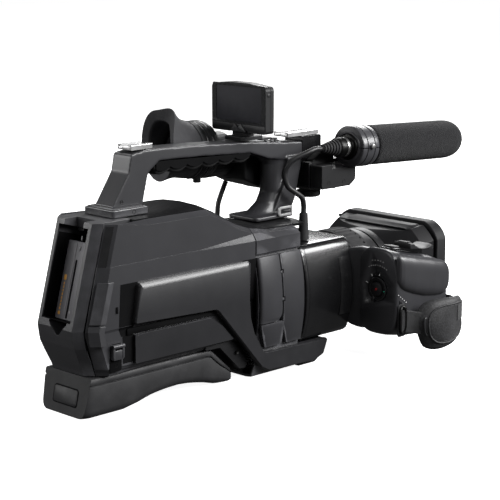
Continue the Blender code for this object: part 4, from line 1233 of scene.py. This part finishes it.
def grip_keys():
    tilt = Matrix.Translation((341, -82, 112)) @ Matrix.Rotation(math.radians(8), 4, "Y")
    button = plate(rectangle(-6.4, -7, 6.4, 7, 4.4), "z", 0.4, 2.4, 0.8, 8)
    button.transform(tilt)
    piece("photo_button_cap", button, "key", body="photo_button", slot="photo_button",
          replaces=("photo_button",))
    marks = [plate(rectangle(-3 + 3.4 * k, -2.2, -1 + 3.4 * k, 2.2, 0.6), "z", 2.4, 2.65,
                   0.05) for k in range(2)]
    for mark in marks:
        mark.transform(tilt)
    piece("photo_button_marks", joined(marks), "print_grey", body="photo_button", slot="photo_button")
    surround = plate(rectangle(-8.6, -9, 8.6, 9, 5.4), "z", -1.6, 0.5, 0.5, 8)
    surround.transform(tilt)
    piece("photo_surround", surround, "case_gloss", slot="grip_casing")
    profile = [(352.4, 115), (353.4, 116.4), (358, 116.2), (361.6, 113.6), (366, 111), (371, 109.9),
               (377, 109.6),
               (382, 110.4), (386.6, 111.6), (388.6, 110.8), (389.2, 109)]
    rings = []
    for j in range(13):
        y = -97 + 22 * j / 12
        crown = 0.9 * (1 - ((j - 6) / 6) ** 4)
        ring = [(x, y, z - 0.9 + crown) for x, z in profile]
        ring += [(388, y, 106), (352.6, y, 110.9)]
        rings.append(ring)
    rocker = piece("zoom_rocker_moulding", skin(rings), "key", body="zoom_rocker", slot="zoom_rocker",
                   replaces=("zoom_rocker",), angle=40)
    soften(rocker, 0.5, 2, 35)
    ribs = [cuboid((354 + 1.6 * k, -92, 116), (354.8 + 1.6 * k, -80, 116.9)) for k in range(3)]
    piece("zoom_rocker_ribs", joined(ribs), "key", body="zoom_rocker", slot="zoom_rocker")
    slots = [plate(rectangle(358 + 4 * k, 30, 359.4 + 4 * k, 40, 0.7), "y", -106.8, -107.15, 0.05)
             for k in range(6)]
    piece("grip_vent_row", joined(slots), "recess_shade", slot="grip_casing")


BELT_STITCHES = 96


def leaf(t, v, out):
    """A point of the belt pad: t runs forward, v from lower to upper edge, out stands off its inner face."""
    x = 351 + 55 * t
    bow = math.sin(math.pi * t) ** 0.8 if 0 < t < 1 else 0
    lower, upper = 11.6 + 22 * t ** 2.4, 62 + 3 * bow - 3 * t
    bulging = 8 * math.sin(math.pi * min(1, (1 - v) * 1.15)) * (1 - t)
    return (x - bulging, -113.6 - 14.4 * bow - out, lower + (upper - lower) * v)


def edge_round(value, corner=0.16):
    """0 at both ends of 0..1 and 1 between, on a quarter-round of the corner's length."""
    near = min(value, 1 - value)
    if near >= corner:
        return 1
    return math.sqrt(max(0, 1 - (1 - near / corner) ** 2))


def belt_pad():
    columns, rows = 40, 32
    bm = bmesh.new()
    sheets = []
    for side in (0, 1):
        sheet = []
        for i in range(columns + 1):
            row = []
            for j in range(rows + 1):
                t, v = i / columns, j / rows
                squeeze = 0.74 + 0.26 * edge_round(t, 0.2)
                around = (v - 0.5) * squeeze + 0.5
                swell = edge_round(t) * edge_round(v)
                thick = (1.6 + 4.2 * swell) if side else -0.8 * swell
                row.append(bm.verts.new(leaf(t, around, thick)))
            sheet.append(row)
        sheets.append(sheet)
    for index, sheet in enumerate(sheets):
        for i in range(columns):
            for j in range(rows):
                quad = (sheet[i][j], sheet[i + 1][j], sheet[i + 1][j + 1], sheet[i][j + 1])
                bm.faces.new(quad if index else quad[::-1])
    inner, outer = sheets
    border = [(i, 0) for i in range(columns)] + [(columns, j) for j in range(rows)]
    border += [(i, rows) for i in range(columns, 0, -1)] + [(0, j) for j in range(rows, 0, -1)]
    for (i, j), (k, m) in zip(border, border[1:] + border[:1]):
        bm.faces.new((inner[i][j], inner[k][m], outer[k][m], outer[i][j]))
    pad = piece("belt_pad_leather", bm, "leather", slot="belt_pad", replaces=("belt_pad",), angle=70)
    loop = []
    for k in range(BELT_STITCHES):
        angle = math.tau * k / BELT_STITCHES
        c, s = math.cos(angle), math.sin(angle)
        u, v = 0.5 + 0.40 * signed_power(c, 0.45), 0.5 + 0.38 * signed_power(s, 0.45)
        loop.append(Vector(leaf(u, v, 5.5 * edge_round(u) * edge_round(v) + 0.6)))
    piece("belt_pad_piping", pipe(loop, 0.9, closed=True), "leather", slot="belt_pad", angle=60)
    stitches = []
    for here, ahead in zip(loop, loop[1:] + loop[:1]):
        inward = (Vector(leaf(0.5, 0.5, 6)) - here).normalized() * 1.9
        stitches.append(pipe([here + inward, here.lerp(ahead, 0.6) + inward], 0.28))
    piece("belt_pad_stitches", joined(stitches), "thread", slot="belt_pad")
    belt_straps()


def belt_straps():
    strap("belt_strap_rear", [(327, -105.6, 44), (333, -108.6, 43), (340, -112.6, 41.5), (347, -118, 40),
                              (356, -123, 39.5)], 22, 1.7, "webbing", slot="belt_pad")
    strap("belt_strap_front", [(390, -122.6, 45.5), (397, -118.4, 46), (403, -113, 46.5), (406.6, -106, 47),
                               (406, -99, 47)], 20, 1.7, "webbing", slot="belt_pad")
    strap("belt_strap_end", [(384, -132.4, 47), (392, -130.4, 47.4), (399, -126, 48),
                             (403.6, -120.6, 48.4)], 16, 2.0,
          "webbing", slot="belt_pad")
    loop = [(329 + 4.2 * math.cos(math.tau * k / 36), -107.4 - 1.6 * abs(math.cos(math.tau * k / 36)),
             45 + 13.4 * signed_power(math.sin(math.tau * k / 36), 0.5))
            for k in range(36)]
    piece("belt_ring", pipe(loop, 1.2, closed=True, sides=10), "dark_metal", slot="belt_pad")
    anchor = plate(rectangle(322.6, 28, 335, 61, 3), "y", -106.6, -107.6, 0.4)
    piece("belt_anchor", anchor, "case_dark", slot="grip_casing")
    slot = [Vector(leaf(0.07, 0.5 + 0.17 * signed_power(math.sin(a), 0.4), 4.6))
            + Vector((2.1 * signed_power(math.cos(a), 0.4), 0, 0))
            for a in (math.tau * k / 32 for k in range(32))]
    piece("belt_buckle", pipe(slot, 1.1, closed=True), "key", slot="belt_pad")


# ---------------------------------------------------------------- rear frame and battery

REAR_FACE = [(36, -2), (42, -4), (54, -9.5), (64, -14), (72, -15.5), (80, -16.5), (172, 8.6)]   # height, x
REAR_LEAN = math.atan2(25.1, 92)
BATTERY_FOOT = 87
BATTERY_INSET = 14


def rear_half(z):
    """Half width of the flat rear face."""
    return 24 - max(0, 60 - z) * 0.12


def leaned(x, y, z):
    """A point given as if the rear face were upright at x = 0, leaned with the real face."""
    rise = z - BATTERY_FOOT
    return (along(REAR_FACE, BATTERY_FOOT) + x * math.cos(REAR_LEAN) + rise * math.sin(REAR_LEAN), y,
            BATTERY_FOOT - x * math.sin(REAR_LEAN) + rise * math.cos(REAR_LEAN))


def lean(bm):
    for vert in bm.verts:
        vert.co = leaned(*vert.co)
    return bm


def rear_details():
    wall = 19.6
    back = BATTERY_INSET + 22.6
    # Near-black sheets over the battery well's side walls, floor and back: painted shade inside the well.
    liner = [cuboid((1.4, wall - 0.1, 87.2), (back, wall + 0.25, 163)),
             cuboid((1.4, -wall - 0.25, 87.2), (back, -wall + 0.1, 163)),
             cuboid((0.6, -wall, 86.3), (back, wall, 86.7)),
             cuboid((back - 0.4, -wall, 87), (back, wall, 163))]
    piece("well_wall_shade", lean(joined(liner)), "recess_shade", slot="rear_frame")
    face = BATTERY_INSET
    piece("battery_slot", lean(plate(rectangle(2.4, 88.2, 5.0, 141, 0.8), "x", face - 0.12, face + 0.3)),
          "recess_shade",
          body="battery", slot="battery")
    for name, low, high in (("battery_rib_left", 6.4, 18.4), ("battery_rib_right", -18.4, 1.2)):
        piece(name, lean(plate(rectangle(low, 88.6, high, 156, 1), "x", face - 0.35, face + 0.3)), "battery",
              body="battery", slot="battery")
    stripe = [plate(rectangle(13.4, 95 + 3.2 * k, 14.8, 97.4 + 3.2 * k, 0.4), "x", face - 0.5, face - 0.2,
                    0.05)
              for k in range(8)]
    stripe.append(plate(rectangle(12.4, 121.5, 15.8, 126.5, 1), "x", face - 0.5, face - 0.2, 0.05))
    stripe.append(plate(rectangle(12.6, 90.6, 15.4, 93.8, 1), "x", face - 0.5, face - 0.2, 0.05))
    piece("battery_stripe", lean(joined(stripe)), "amber", body="battery", slot="battery")
    mark = [(-1.2, 95.4, 0.2), (1.0, 95.4, 0.2), (-0.1, 92.6, 0.2)]
    piece("battery_mark", lean(plate(mark, "x", face - 0.5, face - 0.2, 0.05)), "print_grey", body="battery",
          slot="battery")
    # A dark strip laid along the right shell's rear corner: painted shade of the groove there.
    levels = (123.4, 135, 150, 166, 169.6)
    gap = []
    for z in levels:
        x, half = along(REAR_FACE, z), rear_half(z)
        ring = []
        for share, proud in ((0.12, 0.1), (0.12, 0.34), (0.72, 0.34), (0.72, 0.1)):
            run = 7.7 + 8.3 * share
            ring.append((x + run - proud * 0.7, -half - run - proud * 0.7, z))
        gap.append(ring)
    piece("corner_gap_shade", skin(gap), "case_dark", slot="right_side_shell")
    blocks = [plate(rectangle(-15.5, 150 + k * 9, -13.6, 154 + k * 9, 0.5), "x", -0.4, 0.6) for k in range(2)]
    piece("well_catches", lean(joined(blocks)), "frame", slot="rear_frame")


def side_details():
    # Black skins and a black strip laid on the shell round the side panel and the AV cover: painted shade standing
    # in for the shadowed channels between them.
    patch("panel_channel_shade", "right_side_shell", (80, 22.6, 45), (118, 25, 45), "recess_shade")
    piece("panel_groove_shade", plate(rectangle(32, 71.6, 139, 77.2, 1), "y", -39.6, -41.2, 0.3), "recess_shade",
          slot="right_side_shell")
    patch("cover_channel_shade", "right_side_shell", (46, 28, 40), (71, 27.6, 40), "recess_shade")
    patch("gap_channel_shade", "right_side_shell", (71, 26, 40), (79.6, 22.6, 40), "recess_shade")
    strap_lug()
    screw("foot_screw_0", (60, -20, 175.6), (0, -1, 0), 1.9, "dark_metal", "handle_rear_foot")
    notch = plate(rectangle(-1.2, -3, 1.2, 3, 0.6), "y", -0.4, 0.2, 0.1)
    notch.transform(Matrix.Translation((20.5, -41.3, 96)))
    piece("dc_cover_notch", notch, "recess_shade", body="dc_cover", slot="dc_in_cover")


def strap_lug():
    seat = plate([(12.5, 40.6, 2), (26, 40.6, 2), (26.5, 66, 2), (13.5, 66, 3)], "y", -39.0, -39.9, 0.3)
    piece("lug_seat", seat, "recess_shade", slot="right_side_shell")
    bar = rod((13.4, -43, 64.2), (26.6, -43, 64.2), 1.9, steps=20)
    cheeks = [plate([(x, 53, 1), (x + 2.2, 53, 1), (x + 2.2, 65.6, 1), (x, 65.6, 1)], "y", -39.6, -43.8, 0.4)
              for x in (13.6, 24.2)]
    cheeks.append(plate([(14, 52, 1), (26, 52, 1), (26, 60.5, 1), (14, 60.5, 1)], "y", -39.6, -43.4, 0.5))
    piece("strap_lug", joined([bar] + cheeks), "frame", slot="right_side_shell")
    screw("lug_screw", (20, -39.9, 46.4), (0, -1, 0), 1.9, "dark_metal", "right_side_shell")


def left_details():
    """The card side: speaker holes, the door's grip and lines, a row of keys and the cooling slots."""
    holes = []
    for row in range(6):
        for column in range(9):
            x, z = 156 + 2.7 * column + 1.35 * (row % 2), 66 + 2.5 * row
            spot = touch("left_side_shell", (x, 80, z))
            holes.append(rod((x, spot.y - 0.4, z), (x, spot.y + 0.12, z), 0.75, steps=10, round_edge=0.05))
    piece("speaker_holes", joined(holes), "recess_shade", slot="left_side_shell")
    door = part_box("card_door")
    low, high = TO_FRAME.inverted() @ door[0], TO_FRAME.inverted() @ door[1]
    on_door = {"body": "card_door", "slot": "card_door"}
    grip = plate(rectangle(low.x + 3, low.z + 12, low.x + 6.4, high.z - 12, 1.4), "y", high.y - 0.3,
                 high.y + 0.9, 0.4)
    piece("card_door_grip", grip, "case_gloss", **on_door)
    lines = [plate(rectangle(low.x + 14, z, high.x - 8, z + 0.7, 0.2), "y", high.y - 0.3, high.y + 0.12, 0.05)
             for z in (low.z + 8, high.z - 8.7)]
    piece("card_door_lines", joined(lines), "recess_shade", **on_door)
    for index in range(5):
        x, z = 92 + 11 * index, 78
        spot = touch("left_side_shell", (x, 80, z))
        key = plate(rectangle(x - 3.6, z - 2, x + 3.6, z + 2, 1.9), "y", spot.y - 0.6, spot.y + 0.9, 0.4)
        piece(f"side_key_{index}", key, "key", slot="left_side_shell")
    vents = []
    for k in range(9):
        x, z = 40 + 3.6 * k, 118
        spot = touch("left_side_shell", (x, 80, z))
        slot = plate(rectangle(x - 0.7, z - 9, x + 0.7, z + 9, 0.7), "y", -1.2, 0.25, 0.1)
        top = touch("left_side_shell", (x, 80, z + 6))
        slot.transform(Matrix.Translation((x, spot.y, z))
                       @ Matrix.Rotation(math.atan2(spot.y - top.y, 6), 4,
                                         "X") @ Matrix.Translation((-x, 0, -z)))
        vents.append(slot)
    piece("side_vents", joined(vents), "recess_shade", slot="left_side_shell")


# ---------------------------------------------------------------- shoulder pad

PAD_SOLE = [(-12, 0), (36, 0), (52, 2.6), (66, 6.2), (84, 8.4), (104, 9), (120, 7.6), (136, 4.4), (150, 0.6),
            (158, 0), (171, 0)]


def pad_section(x, lean_share):
    """The pad across X: rounded sole edges, plain sides, a groove, and a lip under the body."""
    sole = along(PAD_SOLE, x)
    top = 36.4 if x <= 141 else 36.4 - (x - 141) * 27 / 30
    scale = min(1, max(top - sole, 3) / 27)
    levels = [(inset, sole + rise * scale) for inset,
              rise in ((12, 0), (4.8, 0.1), (2, 1.4), (0.4, 4.2), (0, 7))]
    levels += [(inset, top - drop * scale) for inset, drop in ((0.1, 8.4), (0.3, 7.6), (1.5, 7.2), (1.6, 6.4),
                                                               (0.2, 6), (0, 5.4), (0.2, 1.4), (1.2, 0.3),
                                                               (6, 0))]
    right = []
    for inset, z in levels:
        forward = x + lean_share * 8 * z / 36.5
        corner = max(0, -forward)
        half = 32.3 - (14 - math.sqrt(14 ** 2 - corner ** 2)) - max(0, x - 165) ** 2 * 0.1
        right.append((forward, half - inset, z))
    return right + [(forward, -y, z) for forward, y, z in reversed(right)]


def shoulder_pad():
    rings = [pad_section(x, max(0, min(1, (40 - x) / 44))) for x in (-10, -9.6, -8.6, -7, -4.6, -1.6, 2, 6,
                                                                     14, 24, 36,
                                                                     44, 52, 60, 68, 78, 90, 104, 116, 126,
                                                                     136,
                                                                     142, 148, 154, 160, 166, 169, 170.6)]
    piece("shoulder_pad_moulding", skin(rings), "pad_rubber", slot="shoulder_pad",
          replaces=("shoulder_pad",), angle=50)
    frame_x = -8.9
    badge = plate(rectangle(-17, 9.4, 15, 23.4, 2.2), "x", frame_x + 0.5, frame_x + 1.6, 0.2)
    rim = plate(rectangle(-18.2, 8.2, 16.2, 24.6, 3), "x", frame_x + 0.9, frame_x + 2, 0.3)
    for bm in (badge, rim):
        for vert in bm.verts:
            vert.co.x += 8 * vert.co.z / 36.5 - 2.2
    piece("pad_badge_rim", rim, "recess_shade", slot="shoulder_pad")
    piece("pad_badge", badge, "pad_rubber", slot="shoulder_pad")


# ---------------------------------------------------------------- monitor

MONITOR_X, MONITOR_FOOT = 210, 231.5


def monitor():
    face = MONITOR_X
    on_monitor = {"body": "monitor", "slot": "monitor_case"}
    bezel_out = rounded(rectangle(-35.2, 239.4, 35.2, 277.2, 1.4))
    bezel_in = rounded(rectangle(-30.2, 241.6, 30.2, 275, 0.6))
    rings = [[(x, y, z) for y, z in outline] for x,
             outline in ((face + 0.3, bezel_out), (face - 0.15, bezel_out),
                                                                (face - 0.15, bezel_in),
                         (face + 0.7, bezel_in))]
    piece("monitor_bezel", skin(rings, hollow=True), "case_gloss", angle=25, **on_monitor)
    piece("monitor_screen", plate(rectangle(-30.1, 241.7, 30.1, 274.9, 0.4), "x", face + 0.25, face + 0.75,
                                  0.05),
          "screen", **on_monitor)
    strip = plate(rectangle(-34.6, 233.2, 34.6, 239, 1), "x", face - 0.12, face + 0.3, 0.1)
    piece("monitor_sill", strip, "case_dark", **on_monitor)
    yoke = plate([(-11, 232, 0.4), (11, 232, 0.4), (4, 239.4, 0.4), (0, 235.6, 0.4), (-4, 239.4, 0.4)], "x",
                 face - 1.5, face - 0.1, 0.2)
    piece("monitor_yoke", yoke, "key", **on_monitor)
    seam = rounded([(-36.6, MONITOR_FOOT - 0.05, 3), (36.6, MONITOR_FOOT - 0.05, 3), (36.6, 276.1, 4),
                    (14, 278.55, 20), (-14, 278.55, 20), (-36.6, 276.1, 4)])
    band = [[(x, y, z) for y, z in seam] for x in (face + 6.2, face + 6.7)]
    piece("monitor_seam", skin(band, capped=False), "recess_shade", **on_monitor)
    piece("monitor_side_button", rod((face + 3.6, -36.2, 268.5), (face + 3.6, -37, 268.5), 1.9), "key",
          **on_monitor)
    grille = [plate(rectangle(-20 + 2 * k, 262, -19 + 2 * k, 270, 0.4), "x", face + 10.5, face + 10.75, 0.05)
              for k in range(21)]
    piece("monitor_back_vents", joined(grille), "recess_shade", **on_monitor)
    pads = [plate(rectangle(-16 + 9 * k, 244, -9 + 9 * k, 248, 1), "x", face + 10.4, face + 11, 0.2)
            for k in range(4)]
    piece("monitor_back_keys", joined(pads), "key", **on_monitor)
    for side in (-1, 1):
        piece(f"monitor_hinge_cap_{'left' if side > 0 else 'right'}",
              rod((216, side * 11.3, 233.4), (216, side * 11.9, 233.4), 2.6), "dark_metal",
              body="monitor_swivel",
              slot="monitor_hinge")


# ---------------------------------------------------------------- viewfinder

EVF_Y, EVF_Z = 48, 211
EVF_AXIS = ((0, EVF_Y, EVF_Z), AHEAD)


def cup_ring(x, middle, half, sweep, ear, count=72):
    """One oval of the eyecup: swept back on the side of the nose, with an ear at the top."""
    ring = []
    for k in range(count):
        angle = math.tau * k / count
        lift = ear * max(0, math.cos(angle - math.radians(127))) ** 12
        ring.append((x + sweep * math.cos(angle) + lift, EVF_Y + half * math.cos(angle),
                     middle + (half + lift) * math.sin(angle)))
    return ring


def viewfinder():
    rows = [(186.2, 1, 28, 0, 0), (184, 1.4, 28.2, 0, 0), (183.6, 1.4, 27.2, 0, 0),
            (181.8, 1.7, 27.2, 0.2, 0.2),
            (181.4, 1.8, 28.3, 0.3, 0.3), (176, 3, 28.6, 1, 1), (169, 4.6, 29, 3, 2), (163, 6, 29.8, 5, 3.4),
            (156, 7, 31.6, 7.5, 6), (150.4, 8, 33.6, 9.6, 8.6), (149, 8, 34, 10, 9),
            (148.8, 8, 33.4, 10, 8.8),
            (149.4, 7.9, 32.6, 9.9, 8.4), (151.4, 7.2, 26, 8.6, 3.4), (152.4, 7, 25.2, 8.2, 3),
            (156, 6.8, 24, 7, 2.6), (160, 6.6, 23.4, 6, 2.4),
            (166, 5.4, 22.4, 3, 1), (176, 3, 21.6, 1, 0.4), (186.2, 1, 21.4, 0, 0)]
    rings = [cup_ring(x, EVF_Z + lift, half, sweep, ear) for x, lift, half, sweep, ear in rows]
    # The eyecup takes the lightened rubber: painted light on its rim.
    piece("eyecup_rubber_painted_light", skin(rings, hollow=True), "eyecup_rubber_painted_light", body="viewfinder", slot="eyecup",
          replaces=("eyecup",), angle=45)
    eye = [(20.6, 176), (20.2, 178), (17.4, 178.6), (17.2, 181), (14.6, 181.6), (14.4, 184), (12.6, 184.4),
           (12.4, 187.6)]
    piece("eyepiece_rings", lathe(eye, *EVF_AXIS, 64), "case_gloss", body="viewfinder",
          slot="viewfinder_barrel", angle=25)
    piece("eyepiece_cone", lathe([(21.6, 175.8), (21.2, 187.4), (12.2, 187.6)], *EVF_AXIS, 64),
          "case_dark", body="viewfinder", slot="viewfinder_barrel")
    dome = [(0, 184.6), (5, 184.9), (9, 185.7), (12.4, 187.2)]
    piece("eyepiece_lens", lathe(dome, *EVF_AXIS, 48), "lens", body="viewfinder",
          slot="viewfinder_barrel")
    for index, x in enumerate((190.4, 197.4)):
        band = [(28.56, x), (28.7, x + 0.2), (28.7, x + 0.9), (28.56, x + 1.1)]
        piece(f"barrel_band_{index}", lathe(band, *EVF_AXIS, 72), "case_gloss", body="viewfinder",
              slot="viewfinder_barrel")


# ---------------------------------------------------------------- microphone

def mic_point(height):
    return Vector(mic_frame(height))


def mic_lathe(profile, steps=64, closed=False):
    return lathe(profile, mic_point(0), mic_point(1) - mic_point(0), steps, closed)


def microphone():
    foam_profile = [(13.3, 9), (16, 8.2), (18.8, 8.6), (19.8, 10)]
    foam_profile += [(20, 10 + 3 * k) for k in range(1, 41)]
    foam_profile += [(19.7, 134), (19.1, 138), (17.8, 142), (15.8, 145.6), (13, 148.6), (9.6, 150.7),
                     (5.4, 151.7),
                     (0, 152)]
    cover = piece("foam_windscreen", mic_lathe(foam_profile, 96), "foam", slot="microphone_foam",
                  replaces=("microphone_foam",), angle=80)
    roughen(cover, 0.5, 0.35)
    tube = [(0, -22), (8.8, -22), (9.2, -21.6), (9.4, -20), (11.6, -19.6), (12.4, -18.6), (12.7, -17),
            (12.7, -14.6),
            (12, -14.4), (12, -13.6), (12.7, -13.4), (12.8, -12), (12.8, 9), (0, 9)]
    piece("microphone_body", mic_lathe(tube, 64), "dark_metal", slot="microphone_tube",
          replaces=("microphone_tube",), angle=30)
    slots = []
    for angle in (-100, -60, -20, 20, 60, 100, 140):
        slot = cuboid((-8.4, -1.0, 12.6), (-2.4, 1.0, 12.95))
        slots.append(mic_place(slot, math.radians(angle)))
    piece("microphone_slots", joined(slots), "recess_shade", slot="microphone_tube")
    clamp()
    microphone_stand()
    plug()


def mic_place(bm, angle):
    """Turns a shape made along +X with +Z outwards to an angle round the microphone's axis."""
    spin = Matrix.Rotation(angle, 4, "X")
    pitch = Matrix.Rotation(MIC_PITCH, 4, "Y")
    bm.transform(Matrix.Translation(MIC_POINT) @ pitch @ spin)
    return bm


def clamp():
    """The microphone holder: a split ring with a bead at each rim, rubber inside, and a thumb screw."""
    profile = [(13.3, -18.8), (15.2, -18.8), (15.6, -18.2), (19.4, -18.0), (20.2, -17.4), (20.6, -16.4),
               (20.6, -12.4), (19.9, -12), (19.9, -10.8), (20.6, -10.4), (20.6, -1.6), (19.9, -1.2),
               (19.9, -0.2),
               (20.6, 0.2), (20.6, 4.6), (20.2, 5.8), (19.2, 6.6), (15.4, 6.8), (13.3, 6.8)]
    for name, body, start in (("mic_clamp_base", BODY, math.pi), ("mic_clamp_lid", "mic_clamp_lid", 0.0)):
        half = lathe_half(profile, start)
        piece(f"{name}_ring", half, "clamp_moulding", body=body, slot=name, replaces=(name,), angle=28)
    liner = mic_lathe([(13.25, -18.4), (12.85, -18.4), (12.85, 6.6), (13.25, 6.6)], 48, closed=True)
    piece("mic_clamp_liner", liner, "rubber", slot="mic_clamp_base")
    pin = rod(mic_frame(-6, -20.8, 1.6), mic_frame(-6, -23.6, 1.6), 2.6, steps=24)
    piece("clamp_screw_head", pin, "metal", body="mic_clamp_lid", slot="mic_clamp_lid")
    stem = rod(mic_frame(-6, -19.4, 1.6), mic_frame(-6, -20.9, 1.6), 3.4, steps=24)
    piece("clamp_screw_boss", stem, "clamp_moulding", body="mic_clamp_lid", slot="mic_clamp_lid")


def microphone_stand():
    """The arm that carries the holder beside the adaptor, and the bracket's two screws."""
    arm = [(292, 190, 1), (330, 190, 2), (330, 195, 1), (323, 196, 1), (322, 208, 3), (312, 208, 6),
           (292, 198, 3)]
    piece("clamp_arm", plate(arm, "y", -20.4, -12, 0.6), "case_dark", slot="mic_bracket")
    for index, (x, z) in enumerate(((299, 175.8), (321, 175.2))):
        screw(f"bracket_screw_{index}", (x, -36, z), (0, -1, 0), 2.1, "dark_metal", "mic_bracket")


def lathe_half(profile, start, steps=40):
    """Half a turned ring about the microphone, closed at its two parting faces."""
    across, above = Vector((0, 1, 0)), Vector(mic_frame(0, 0, 1)) - Vector(mic_frame(0))
    forward = mic_point(1) - mic_point(0)
    shy = 0.025
    rings = []
    for k in range(steps + 1):
        angle = start + shy + (math.pi - 2 * shy) * k / steps
        out = across * math.cos(angle) + above * math.sin(angle)
        rings.append([mic_point(0) + forward * height + out * radius for radius, height in profile])
    return skin(rings)


def plug():
    """The microphone lead's connector: a satin collar and shell, then a ribbed boot."""
    shell = [(0, -22.4), (8.6, -22.4), (9.4, -22.9), (9.6, -23.8), (9.6, -28), (9.2, -28.4), (9.2, -29.4),
             (9.6, -29.8), (9.6, -35.4), (9.2, -36.2), (8.4, -37), (0, -37)]
    piece("xlr_plug_shell", mic_lathe(shell[::-1], 56), "dark_metal", slot="xlr_plug", replaces=("xlr_plug",),
          angle=30)
    collar = [(9.66, -27.9), (9.8, -27.6), (9.8, -24.6), (9.66, -24.3)]
    piece("xlr_plug_collar", mic_lathe(collar[::-1], 56), "metal", slot="xlr_plug")
    boot = [(0, -36.8), (8.2, -36.8)]
    for k in range(6):
        start = -37.2 - 3.3 * k
        radius = 8.2 - 0.78 * k
        boot += [(radius, start), (radius - 0.1, start - 1.9), (radius - 1.3, start - 2.1),
                 (radius - 1.3, start - 3.0)]
    boot += [(3.9, -57.2), (3.2, -58), (0, -58)]
    piece("plug_boot", mic_lathe(boot[::-1], 48), "rubber", slot="xlr_plug", angle=25)


# ---------------------------------------------------------------- the whole scene

camera()
studio()
carried_nodes()
cord("viewfinder_cable", VIEWFINDER_ROUTE, 5)
cord("microphone_cable", MICROPHONE_ROUTE, 5.4)
rear_details()
side_details()
left_details()
shoulder_pad()
monitor()
viewfinder()
microphone()
side_panel()
jack_side()
bulkhead()
lens_housing()
handle()
hood()
barrel()
zoom_ring()
grip()
palm_cover()
mode_dial()
grip_keys()
belt_pad()
